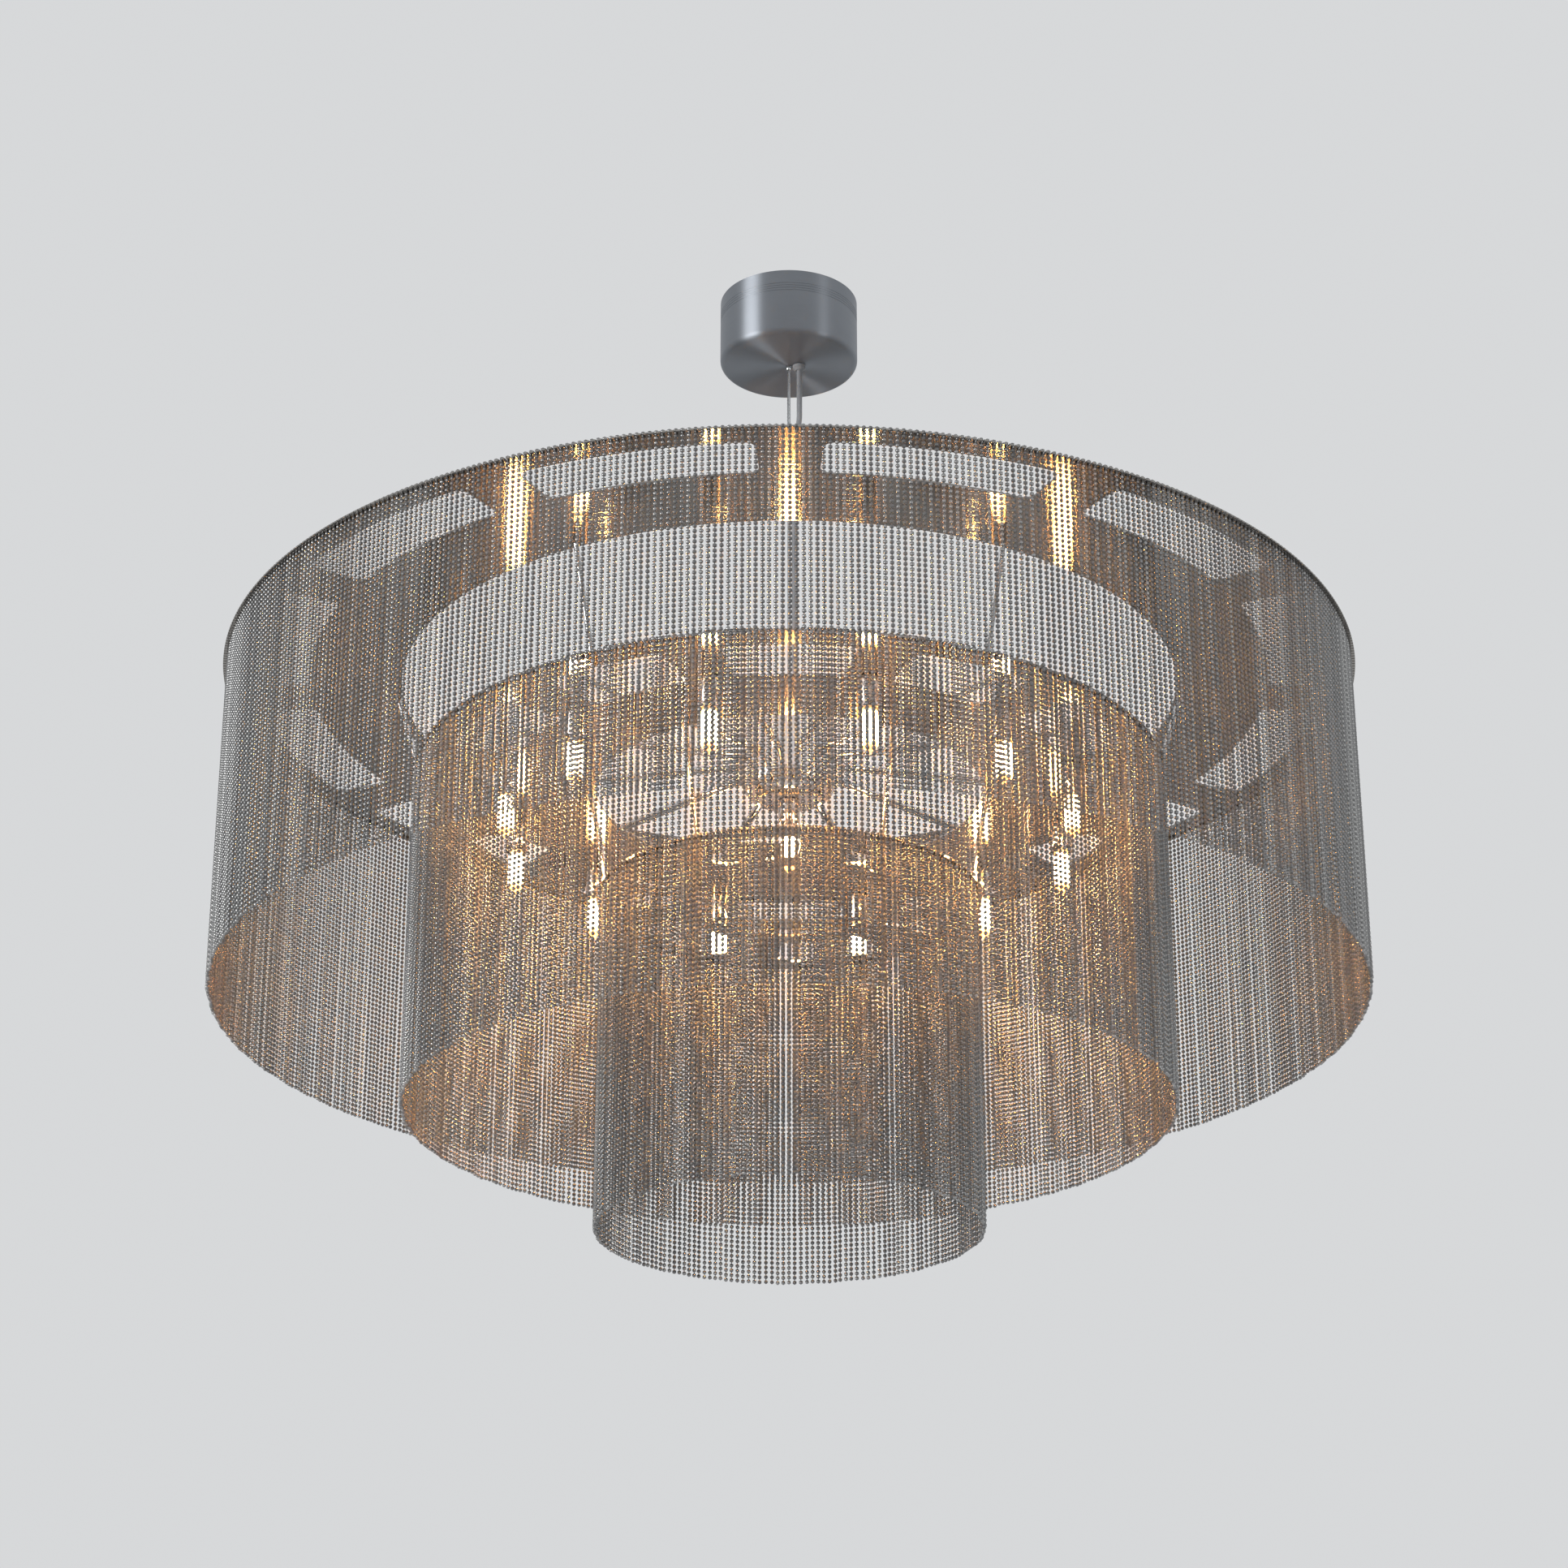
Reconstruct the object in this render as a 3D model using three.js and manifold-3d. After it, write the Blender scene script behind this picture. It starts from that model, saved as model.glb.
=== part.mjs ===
// A three-tier pendant light hung with ball chains, in millimetres with +Z up.
// The origin is on the ceiling, at the middle of the bracket. Angles start at the front, on -Y, and
// grow towards +X. The three ring plates have toothed rims, and a chain hangs in each notch.
import * as THREE from 'three';
import { mergeVertices } from 'three/addons/utils/BufferGeometryUtils.js';
import Module from 'manifold-3d';

const wasm = await Module();
wasm.setup();

// Clearances
const gap = 0.3; // between pieces that touch
const overrun = 1; // how far a cutter passes the face that it opens
const weldDistance = 0.001; // corners nearer than this are one corner

// The tiers, by each chain circle's radius. The first drop is from the ceiling to the outer plate's
// top face, and the others are from plate to plate.
const outerRadius = 500;
const middleRadius = 332;
const innerRadius = 165;
const outerDrop = 406;
const middleStep = 94;
const innerStep = 103;
const middleDrop = outerDrop + middleStep;
const innerDrop = middleDrop + innerStep;
const plateThickness = 1.5;
const toothReach = 4.8; // of a tooth past the chain circle

// The chains. One flat three-sided strand stands for five of the real chains, side by side, and
// has about their weight.
const chainLength = 302; // from a plate's top face to the last ball
const strandWidth = 11;
const strandDepth = 3.6; // from its edge in the notch to its face outside
const topRowHeight = 3.8; // of the row of balls that rests on the teeth
const topRowLip = 1; // of that row past a strand's outside face
const outerStrands = 120;
const middleStrands = 80;
const innerStrands = 40;
const outerSectors = 6;
const middleSectors = 5;
const innerSectors = 5;

// Each plate, from its chain circle inwards: the rim, the windows and the band round the hole.
// Angles are in degrees.
const outerWindows = { count: 12, firstAngle: 15, halfAngle: 11.8 };
const outerRim = 20;
const outerWindowDepth = 52;
const outerBand = 81;
const middleWindows = { count: 12, firstAngle: 0, halfAngle: 10.5 };
const middleRim = 21;
const middleWindowDepth = 61;
const middleBand = 78;
const innerWindows = { count: 6, firstAngle: 44, halfAngle: 20 };
const innerRim = 15;
const innerWindowDepth = 49;
const innerBand = 17;
const windowCorner = 9;
const outerHoleRadius = outerRadius - outerRim - outerWindowDepth - outerBand;
const middleHoleRadius = middleRadius - middleRim - middleWindowDepth - middleBand;
const innerHoleRadius = innerRadius - innerRim - innerWindowDepth - innerBand;

// Lamps and their sockets
const lampInset = 77; // of the lamps' circle from the middle plate's chain circle
const lampCircleRadius = middleRadius - lampInset;
const lampCount = 12; // on the circle, with one more at the centre
const socketRadius = 9.5;
const socketLength = 29; // below the shoulder that carries the plate
const spigotRadius = 7;
const mouthRadius = 7.9;
const mouthDepth = 10;
const baseRadius = 6.4;
const baseLength = 12;
const glassRadius = 6.9;
const glassLength = 38;
const glassTipRadius = 2.5;
const glassTipLength = 5;
const pinPitch = 9;
const pinWidth = 2.5;
const pinThickness = 1;
const pinLength = 5;

// Hub and arms
const hubRadius = 42;
const hubWall = 2.5;
const hubCorner = 18;
const hubHeight = 70;
const hubDip = 8; // of the hub's bottom below the middle plate's top face
const hubBottomDrop = middleDrop + hubDip;
const hubTopDrop = hubBottomDrop - hubHeight;
const armRise = 31; // of the arms' axes over the middle plate's top face
const armDrop = middleDrop - armRise;
const armRadius = 4;
const sleeveRise = 8; // of a sleeve's closed top over the arm's axis
const sleeveLid = 2; // thickness of that top
const spigotLength = plateThickness + 2 * gap + armRise - armRadius; // from the shoulder up
const lidThickness = 4;
const lidRim = 8; // depth of the ring that sits inside the cup

// Posts between the tiers
const postCount = 6;
const postRadius = 2.4;
const postEndRadius = 1.7; // where it passes through a plate
const postNutRadius = 4;
const postNutHeight = 4;
const postWeb = 2.8; // of plate left between a post's hole and the edge beside it

// Canopy, bracket and suspension
const canopyRadius = 64.2;
const canopyHeight = 65.2;
const canopyWall = 1.5;
const canopyCorner = 5;
const bracketLength = 92;
const bracketWidth = 24;
const bracketThickness = 3;
const bracketDepth = 25;
const yokeWidth = 50;
const screwSpacing = 72;
const screwSlotWidth = 5;
const screwSlotLength = 11;
const ropeRadius = 1.6;
const ropeEndRadius = 4;
const ferruleLength = 12;
const collarRadius = 2.8;
const collarHeight = 4.5;
const flexRadius = 2.6;
const flexOffset = 9.5; // from the rope's axis to the flex at its two ends
const flexNearOffset = 5.2; // and along the rope
const flexStraight = 52; // from the canopy down, for the canopy to slide on
const flexBend = 40; // height over which the flex comes in to the rope
const flexTail = 16; // above the hub, where it goes out again
const gripRadius = 6;
const gripHeight = 5;
const gripSpigotRadius = 4;
const gripSpigotHeight = 7;
const bossRadius = 5;
const bossHeight = 4;
const terminalLength = 19;
const terminalWidth = 16;
const terminalHeight = 13;

// Number of sides of the round pieces, and of steps along the curved ones
const largeSides = 28;
const hubSides = 20;
const smallSides = 8;
const nutSides = 6;
const slotEndSteps = 4;
const flexSteps = 22;
const rowSides = 50; // of a whole circle of top balls

const turn = 2 * Math.PI;
const metal = (colour, roughness) => new THREE.MeshStandardMaterial({
  color: colour,
  metalness: 1,
  roughness,
});
const chainNickel = metal('#b9b7b3', 0.3);
const plateSteel = metal('#9d9a95', 0.35);
const polishedSteel = metal('#c4c6c9', 0.15);
const zincSteel = metal('#8c8f93', 0.5);
const lampGlass = new THREE.MeshStandardMaterial({ color: '#fff1d8', roughness: 0.1 });
const greyFlex = new THREE.MeshStandardMaterial({ color: '#8a8c8e', roughness: 0.45 });
const terminalPlastic = new THREE.MeshStandardMaterial({ color: '#d9d6cc', roughness: 0.6 });

const light = new THREE.Group();

function addPiece(name, geometry, material, position = new THREE.Vector3()) {
  const mesh = new THREE.Mesh(geometry, material);
  mesh.name = name;
  mesh.position.copy(position);
  light.add(mesh);
  return mesh;
}

const radians = (degrees) => THREE.MathUtils.degToRad(degrees);

// A point on a circle round the light's axis, at an angle in degrees from the front.
function at(radius, degrees) {
  const angle = radians(degrees);
  return new THREE.Vector2(radius * Math.sin(angle), -radius * Math.cos(angle));
}

function at3(radius, degrees, height) {
  const point = at(radius, degrees);
  return new THREE.Vector3(point.x, point.y, height);
}

// The radius of the polygon that goes round a circle, so that a faceted hole clears a round shaft.
const around = (radius, sides) => radius / Math.cos(Math.PI / sides);

// Solids for joining and cutting

function solidOf(geometry) {
  const source = geometry.index ? geometry.toNonIndexed() : geometry;
  const bare = new THREE.BufferGeometry();
  bare.setAttribute('position', source.getAttribute('position'));
  const merged = mergeVertices(bare, weldDistance);
  const corners = merged.index.array;
  const triVerts = [];
  for (let i = 0; i < corners.length; i += 3) {
    const [a, b, c] = corners.slice(i, i + 3);
    if (a !== b && b !== c && c !== a) triVerts.push(a, b, c);
  }
  return new wasm.Manifold(new wasm.Mesh({
    numProp: 3,
    vertProperties: merged.attributes.position.array,
    triVerts: new Uint32Array(triVerts),
  }));
}

function geometryOf(solid) {
  const mesh = solid.getMesh();
  const geometry = new THREE.BufferGeometry();
  geometry.setAttribute('position', new THREE.BufferAttribute(mesh.vertProperties, 3));
  geometry.setIndex(new THREE.BufferAttribute(mesh.triVerts, 1));
  const facets = geometry.toNonIndexed();
  facets.computeVertexNormals();
  return facets;
}

function joined(geometries) {
  return geometries.map(solidOf).reduce((whole, next) => whole.add(next));
}

function cutBy(solid, cutters) {
  return cutters.map(solidOf).reduce((whole, next) => whole.subtract(next), solid);
}

// A piece turned on the Z axis. The profile runs from the bottom, round the outside, to the top.
function turned(profile, sides) {
  const points = profile.map(([radius, height]) => new THREE.Vector2(radius, height));
  const geometry = new THREE.LatheGeometry(points, sides);
  geometry.rotateX(Math.PI / 2);
  return geometry;
}

// A ring turned on the Z axis: the profile closes on itself.
function turnedRing(profile, sides) {
  return turned([...profile, profile[0]], sides);
}

// Profile points of a quarter round, from one angle to another, in degrees from the radius.
function roundPoints(radius, height, size, from, to, steps) {
  const points = [];
  for (let i = 0; i <= steps; i += 1) {
    const angle = radians(from + (to - from) * i / steps);
    points.push([radius + size * Math.cos(angle), height + size * Math.sin(angle)]);
  }
  return points;
}

function rod(radius, low, high, sides) {
  return turned([[0, low], [radius, low], [radius, high], [0, high]], sides);
}

function block(sizeX, sizeY, sizeZ, centre) {
  const geometry = new THREE.BoxGeometry(sizeX, sizeY, sizeZ);
  geometry.translate(centre.x, centre.y, centre.z);
  return geometry;
}

// Ring plates

function polygon(points) {
  const path = new THREE.Path();
  path.setFromPoints(points);
  path.closePath();
  return path;
}

function roundHole(centre, radius, sides) {
  const points = [];
  for (let i = 0; i < sides; i += 1) {
    const angle = turn * i / sides;
    const reach = around(radius, sides);
    points.push(new THREE.Vector2(
      centre.x + reach * Math.cos(angle),
      centre.y + reach * Math.sin(angle),
    ));
  }
  return polygon(points);
}

// A window between two radii, with round corners, centred on an angle in degrees. Each corner is
// drawn at these swings, in degrees from the radius.
const cornerSwings = [90, 45, 0];

function windowHole(inside, outside, centreAngle, halfAngle) {
  const points = [];
  for (const [radius, out] of [[outside, 1], [inside, -1]]) {
    const middle = radius - out * windowCorner;
    const cornerAngle = THREE.MathUtils.radToDeg(windowCorner / middle);
    const corner = (swing, side) => at(
      middle + out * windowCorner * Math.cos(radians(swing)),
      centreAngle + side * (halfAngle - cornerAngle * (1 - Math.sin(radians(swing)))),
    );
    points.push(...cornerSwings.map((swing) => corner(swing, -out)));
    points.push(at(radius, centreAngle));
    points.push(...cornerSwings.toReversed().map((swing) => corner(swing, out)));
  }
  return polygon(points);
}

// The radius of a strand's inner edge, of its face outside, and of the notch's root
const strandEdge = (radius) => radius - 2 * strandDepth / 3;
const strandFace = (radius) => radius + strandDepth / 3;
const notchRoot = (radius) => strandEdge(radius) - 2 * gap;

// A flat plate with a V notch for each strand between pointed teeth.
function toothedPlate(radius, strands, holeRadius, holeSides, holes) {
  const rim = [];
  for (let i = 0; i < strands; i += 1) {
    rim.push(at(notchRoot(radius), 360 * i / strands));
    rim.push(at(radius + toothReach, 360 * (i + 0.5) / strands));
  }
  const shape = new THREE.Shape(rim);
  shape.holes.push(roundHole(new THREE.Vector2(), holeRadius, holeSides), ...holes);
  return new THREE.ExtrudeGeometry(shape, { depth: plateThickness, bevelEnabled: false });
}

function windowsOf({ count, firstAngle, halfAngle }, outside, depth) {
  const windows = [];
  const inside = outside - depth;
  for (let i = 0; i < count; i += 1) {
    windows.push(windowHole(inside, outside, firstAngle + 360 * i / count, halfAngle));
  }
  return windows;
}

const postAngle = (i) => 360 * (i + 0.5) / postCount;
const lampAngle = (i) => 360 * (i + 0.5) / lampCount;

// The hole that lets a leaning rod through a plate
function leaningHoleRadius(tilt) {
  const slant = Math.abs(Math.tan(tilt));
  return postEndRadius / Math.cos(tilt) + plateThickness * slant / 2 + gap;
}

// A rod leads from beside the hole of one plate down to the rim of the next. Its lean is near that
// of a line between the two edges, and its foot also clears the row of balls on that rim.
function leaningRod(holeRadius, rimRadius, step) {
  const edgeTilt = Math.atan((holeRadius - notchRoot(rimRadius)) / step);
  const reach = postWeb + leaningHoleRadius(edgeTilt);
  const head = holeRadius + reach;
  const foot = notchRoot(rimRadius) - reach - topRowHeight * Math.abs(Math.tan(edgeTilt));
  return { head, foot, tilt: Math.atan((head - foot) / step) };
}

const post = leaningRod(outerHoleRadius, middleRadius, middleStep);
const stud = leaningRod(middleHoleRadius, innerRadius, innerStep);

function holesOnCircle(count, angleOf, circleRadius, holeRadius, sides) {
  const holes = [];
  for (let i = 0; i < count; i += 1) {
    holes.push(roundHole(at(circleRadius, angleOf(i)), holeRadius, sides));
  }
  return holes;
}

function postHoles(circleRadius, tilt) {
  return holesOnCircle(postCount, postAngle, circleRadius, leaningHoleRadius(tilt), nutSides);
}

function buildOuterPlate() {
  const plate = toothedPlate(outerRadius, outerStrands, outerHoleRadius, 2 * hubSides, [
    ...windowsOf(outerWindows, outerRadius - outerRim, outerWindowDepth),
    ...postHoles(post.head, post.tilt),
  ]);
  const place = new THREE.Vector3(0, 0, -outerDrop - plateThickness);
  addPiece('outer_plate', plate, plateSteel, place);
}

function buildMiddlePlate() {
  const plate = toothedPlate(middleRadius, middleStrands, middleHoleRadius, largeSides, [
    ...windowsOf(middleWindows, middleRadius - middleRim, middleWindowDepth),
    ...holesOnCircle(lampCount, lampAngle, lampCircleRadius, spigotRadius + gap, smallSides),
    ...postHoles(post.foot, post.tilt),
    ...postHoles(stud.head, stud.tilt),
  ]);
  const place = new THREE.Vector3(0, 0, -middleDrop - plateThickness);
  addPiece('middle_plate', plate, plateSteel, place);
}

// Posts and studs: shouldered rods, with a nut on the far side of each plate that they pass

// How far along a leaning rod a face of a given radius is from the middle of the plate it bears on
function seatOn(tilt, radius) {
  return (plateThickness / 2 + gap + radius * Math.abs(Math.sin(tilt))) / Math.cos(tilt);
}

// The upper end of a rod, from its shoulder through the plate to the top of the nut
function upperEnd(tilt, length) {
  const shoulder = length - seatOn(tilt, postRadius);
  const nut = length + seatOn(tilt, postNutRadius);
  return [
    [postRadius, shoulder],
    [postEndRadius, shoulder],
    [postEndRadius, nut],
    [postNutRadius, nut],
    [postNutRadius, nut + postNutHeight],
    [0, nut + postNutHeight],
  ];
}

// Turns a piece that stands on +Z so that it leads from one point towards another.
function aimed(geometry, from, to) {
  const direction = to.clone().sub(from).normalize();
  const lean = new THREE.Quaternion().setFromUnitVectors(new THREE.Vector3(0, 0, 1), direction);
  return geometry.applyQuaternion(lean).translate(from.x, from.y, from.z);
}

// The posts carry the outer plate over the middle one.
function buildPosts() {
  const middleHeight = -middleDrop - plateThickness / 2;
  const outerHeight = -outerDrop - plateThickness / 2;
  for (let i = 0; i < postCount; i += 1) {
    const foot = at3(post.foot, postAngle(i), middleHeight);
    const head = at3(post.head, postAngle(i), outerHeight);
    const length = foot.distanceTo(head);
    const lowerEnd = upperEnd(post.tilt, 0).map(([radius, height]) => [radius, -height]).reverse();
    const rodAndNuts = turned([...lowerEnd, ...upperEnd(post.tilt, length)], nutSides);
    addPiece(`tier_post_${i + 1}`, aimed(rodAndNuts, foot, head), polishedSteel);
  }
}

// The inner plate, with the studs that it hangs by welded to its top face
function buildInnerPlate() {
  const plate = toothedPlate(innerRadius, innerStrands, innerHoleRadius, hubSides,
    windowsOf(innerWindows, innerRadius - innerRim, innerWindowDepth));
  plate.translate(0, 0, -innerDrop - plateThickness);
  const plateHeight = -innerDrop - plateThickness / 2;
  const middleHeight = -middleDrop - plateThickness / 2;
  const pieces = [plate];
  for (let i = 0; i < postCount; i += 1) {
    const foot = at3(stud.foot, postAngle(i), plateHeight);
    const head = at3(stud.head, postAngle(i), middleHeight);
    const length = foot.distanceTo(head);
    const rodAndNut = turned([[0, 0], [postRadius, 0], ...upperEnd(stud.tilt, length)], nutSides);
    pieces.push(aimed(rodAndNut, foot, head));
  }
  addPiece('inner_plate', geometryOf(joined(pieces)), plateSteel);
}

// Chain curtains: a slice of the row of top balls, with its strands hanging through the notches

function curtainSector(radius, strandAngles, stepAngle) {
  const slack = THREE.MathUtils.radToDeg(gap / radius);
  const start = strandAngles[0] - stepAngle / 2 + slack;
  const end = strandAngles[strandAngles.length - 1] + stepAngle / 2 - slack;
  const arcSteps = Math.round(rowSides * (end - start) / 360);
  const inside = [];
  const outside = [];
  for (let i = 0; i <= arcSteps; i += 1) {
    const angle = start + (end - start) * i / arcSteps;
    outside.push(at(strandFace(radius) + topRowLip, angle));
    inside.unshift(at(strandEdge(radius) - gap, angle));
  }
  const row = new THREE.ExtrudeGeometry(new THREE.Shape([...outside, ...inside]), {
    depth: topRowHeight,
    bevelEnabled: false,
  });
  row.translate(0, 0, gap);
  // One corner of a strand points at the axis, into the notch.
  const section = new THREE.Shape([
    new THREE.Vector2(0, -strandEdge(radius)),
    new THREE.Vector2(-strandWidth / 2, -strandFace(radius)),
    new THREE.Vector2(strandWidth / 2, -strandFace(radius)),
  ]);
  const strands = strandAngles.map((angle) => {
    const strand = new THREE.ExtrudeGeometry(section, {
      depth: chainLength + gap + topRowHeight / 2,
      bevelEnabled: false,
    });
    return strand.translate(0, 0, -chainLength).rotateZ(radians(angle));
  });
  return geometryOf(joined([row, ...strands]));
}

function buildCurtain(tier, radius, drop, strands, sectors) {
  const stepAngle = 360 / strands;
  const each = strands / sectors;
  for (let sector = 0; sector < sectors; sector += 1) {
    const angles = [];
    for (let i = 0; i < each; i += 1) angles.push((sector * each + i) * stepAngle);
    const geometry = curtainSector(radius, angles, stepAngle);
    const place = new THREE.Vector3(0, 0, -drop);
    addPiece(`${tier}_curtain_${sector + 1}`, geometry, chainNickel, place);
  }
}

// Lamps

// A turned tube: its shoulder carries the plate, and its mouth takes the lamp's base.
function socketGeometry() {
  const tube = turned([
    [0, mouthDepth - socketLength],
    [mouthRadius, mouthDepth - socketLength],
    [mouthRadius, -socketLength],
    [socketRadius, -socketLength],
    [socketRadius, 0],
    [spigotRadius, 0],
    [spigotRadius, spigotLength],
    [0, spigotLength],
  ], smallSides);
  const slots = [-1, 1].map((side) => block(
    pinWidth + 2 * gap,
    pinThickness + 2 * gap,
    2 * (pinLength + gap),
    new THREE.Vector3(side * pinPitch / 2, 0, mouthDepth - socketLength),
  ));
  return geometryOf(cutBy(solidOf(tube), slots));
}

// A capsule lamp on two flat pins. Its base bears on the socket at height zero.
function lampGeometry() {
  const glassEnd = -baseLength - glassLength;
  const capsule = turned([
    [0, glassEnd],
    [glassTipRadius, glassEnd],
    [glassRadius, glassEnd + glassTipLength],
    [glassRadius, -baseLength],
    [baseRadius, -baseLength],
    [baseRadius, 0],
    [0, 0],
  ], smallSides);
  const pins = [-1, 1].map((side) => block(
    pinWidth,
    pinThickness,
    2 * pinLength,
    new THREE.Vector3(side * pinPitch / 2, 0, 0),
  ));
  return geometryOf(joined([capsule, ...pins]));
}

function buildLamps() {
  const socket = socketGeometry();
  const lamp = lampGeometry();
  const places = [];
  for (let i = 0; i < lampCount; i += 1) {
    places.push(at3(lampCircleRadius, lampAngle(i), -middleDrop - plateThickness - gap));
  }
  places.push(new THREE.Vector3(0, 0, -hubBottomDrop - gap));
  const lampDrop = new THREE.Vector3(0, 0, mouthDepth - socketLength - gap);
  places.forEach((place, i) => {
    const number = String(i + 1).padStart(2, '0');
    addPiece(`lamp_socket_${number}`, socket, polishedSteel, place);
    addPiece(`capsule_lamp_${number}`, lamp, lampGlass, place.clone().add(lampDrop));
  });
}

// The hub cup, its twelve arms, and the sleeve at each arm's end that holds a socket's spigot
function buildSpider() {
  const floor = -hubBottomDrop + hubWall;
  const cornerHeight = -hubBottomDrop + hubCorner;
  const cornerRadius = hubRadius - hubCorner;
  const inside = hubCorner - hubWall;
  const spigotHole = around(spigotRadius + gap, smallSides);
  const cup = turnedRing([
    [spigotHole, -hubBottomDrop],
    ...roundPoints(cornerRadius, cornerHeight, hubCorner, -90, 0, 3),
    [hubRadius, -hubTopDrop],
    [hubRadius - hubWall, -hubTopDrop],
    ...roundPoints(cornerRadius, cornerHeight, inside, 0, -90, 2),
    [socketRadius, floor],
    [socketRadius, -hubBottomDrop + spigotLength],
    [spigotHole, -hubBottomDrop + spigotLength],
  ], hubSides);
  const sleeveFoot = -middleDrop + gap;
  const sleeveTop = -armDrop + sleeveRise;
  const sleeve = turned([
    [0, sleeveTop - sleeveLid],
    [spigotHole, sleeveTop - sleeveLid],
    [spigotHole, sleeveFoot],
    [socketRadius, sleeveFoot],
    [socketRadius, sleeveTop],
    [0, sleeveTop],
  ], smallSides);
  const armInside = hubRadius - hubWall / 2;
  const armOutside = lampCircleRadius - spigotHole - gap;
  const pieces = [cup];
  for (let i = 0; i < lampCount; i += 1) {
    const place = at3(lampCircleRadius, lampAngle(i), 0);
    pieces.push(sleeve.clone().translate(place.x, place.y, place.z));
    const arm = rod(armRadius, armInside, armOutside, nutSides);
    arm.rotateX(Math.PI / 2);
    arm.rotateZ(radians(lampAngle(i)));
    pieces.push(arm.translate(0, 0, -armDrop));
  }
  addPiece('hub_spider', geometryOf(joined(pieces)), polishedSteel);
}

// The lid carries the cup: the rope's ferrule bears under it, and the flex meets the boss on it.
function buildHubLid() {
  const underside = -hubTopDrop + gap;
  const top = underside + lidThickness;
  const rimOutside = hubRadius - hubWall - gap;
  const rimFoot = -hubTopDrop - lidRim;
  const ropeHole = around(ropeRadius + gap, hubSides);
  const disc = turnedRing([
    [ropeHole, underside],
    [rimOutside - hubWall, underside],
    [rimOutside - hubWall, rimFoot],
    [rimOutside, rimFoot],
    [rimOutside, underside],
    [hubRadius, underside],
    [hubRadius, top],
    [ropeHole, top],
  ], hubSides);
  const boss = rod(bossRadius, top - lidThickness / 2, top + bossHeight, smallSides);
  boss.translate(flexOffset, 0, 0);
  addPiece('hub_lid', geometryOf(joined([disc, boss])), polishedSteel);
}

// Ceiling bracket: a strap on the ceiling with a yoke below it, which the rope's ball sits in
function buildBracket() {
  const half = bracketLength / 2;
  const yoke = yokeWidth / 2;
  const inner = yoke - bracketThickness;
  const outline = new THREE.Shape([
    [-half, 0], [-half, -bracketThickness], [-yoke, -bracketThickness], [-yoke, -bracketDepth],
    [yoke, -bracketDepth], [yoke, -bracketThickness], [half, -bracketThickness], [half, 0],
  ].map(([x, height]) => new THREE.Vector2(x, height)));
  outline.holes.push(polygon([
    [-inner, -bracketThickness], [inner, -bracketThickness],
    [inner, bracketThickness - bracketDepth], [-inner, bracketThickness - bracketDepth],
  ].map(([x, height]) => new THREE.Vector2(x, height))));
  const strap = new THREE.ExtrudeGeometry(outline, { depth: bracketWidth, bevelEnabled: false });
  strap.rotateX(Math.PI / 2);
  strap.translate(0, bracketWidth / 2, 0);
  const slotStraight = (screwSlotLength - screwSlotWidth) / 2;
  const slots = [-1, 1].map((side) => {
    const slot = new THREE.Shape();
    slot.absarc(slotStraight, 0, screwSlotWidth / 2, -Math.PI / 2, Math.PI / 2);
    slot.absarc(-slotStraight, 0, screwSlotWidth / 2, Math.PI / 2, 3 * Math.PI / 2);
    const depth = bracketThickness + 2 * overrun;
    const cutter = new THREE.ExtrudeGeometry(slot, {
      depth,
      bevelEnabled: false,
      curveSegments: slotEndSteps,
    });
    return cutter.translate(side * screwSpacing / 2, 0, -bracketThickness - overrun);
  });
  const ropeHole = rod(
    around(ropeRadius + gap, smallSides),
    -bracketDepth - overrun,
    bracketThickness - bracketDepth + overrun,
    smallSides,
  );
  const bracket = cutBy(solidOf(strap), [...slots, ropeHole]);
  addPiece('ceiling_bracket', geometryOf(bracket), zincSteel);
  const terminalTop = -bracketDepth - gap;
  const terminal = block(terminalLength, terminalWidth, terminalHeight, new THREE.Vector3(
    ropeRadius + flexRadius + terminalLength / 2,
    0,
    terminalTop - terminalHeight / 2,
  ));
  addPiece('terminal_block', terminal, terminalPlastic);
}

function buildCanopy() {
  const floor = -canopyHeight + canopyWall;
  const cornerHeight = -canopyHeight + canopyCorner;
  const cornerRadius = canopyRadius - canopyCorner;
  const ropeHole = around(ropeRadius + gap, largeSides);
  const shell = turnedRing([
    [ropeHole, -canopyHeight],
    ...roundPoints(cornerRadius, cornerHeight, canopyCorner, -90, 0, 2),
    [canopyRadius, 0],
    [canopyRadius - canopyWall, 0],
    [canopyRadius - canopyWall, cornerHeight],
    [cornerRadius, floor],
    [ropeHole, floor],
  ], largeSides);
  const gripHole = rod(
    around(gripSpigotRadius + gap, smallSides),
    -canopyHeight - overrun,
    floor + overrun,
    smallSides,
  );
  gripHole.translate(flexOffset, 0, 0);
  addPiece('canopy_cover', geometryOf(cutBy(solidOf(shell), [gripHole])), polishedSteel);

  const underside = -canopyHeight - gap;
  const collarHole = around(ropeRadius + gap, smallSides);
  addPiece('rope_collar', turnedRing([
    [collarHole, underside - collarHeight],
    [collarRadius, underside - collarHeight],
    [collarRadius, underside],
    [collarHole, underside],
  ], smallSides), polishedSteel);

  const flexHole = around(flexRadius + gap, smallSides);
  const grip = turnedRing([
    [flexHole, underside - gripHeight],
    [gripRadius, underside - gripHeight],
    [gripRadius, underside],
    [gripSpigotRadius, underside],
    [gripSpigotRadius, underside + gripSpigotHeight],
    [flexHole, underside + gripSpigotHeight],
  ], smallSides);
  addPiece('cord_grip', grip, terminalPlastic, new THREE.Vector3(flexOffset, 0, 0));
}

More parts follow.
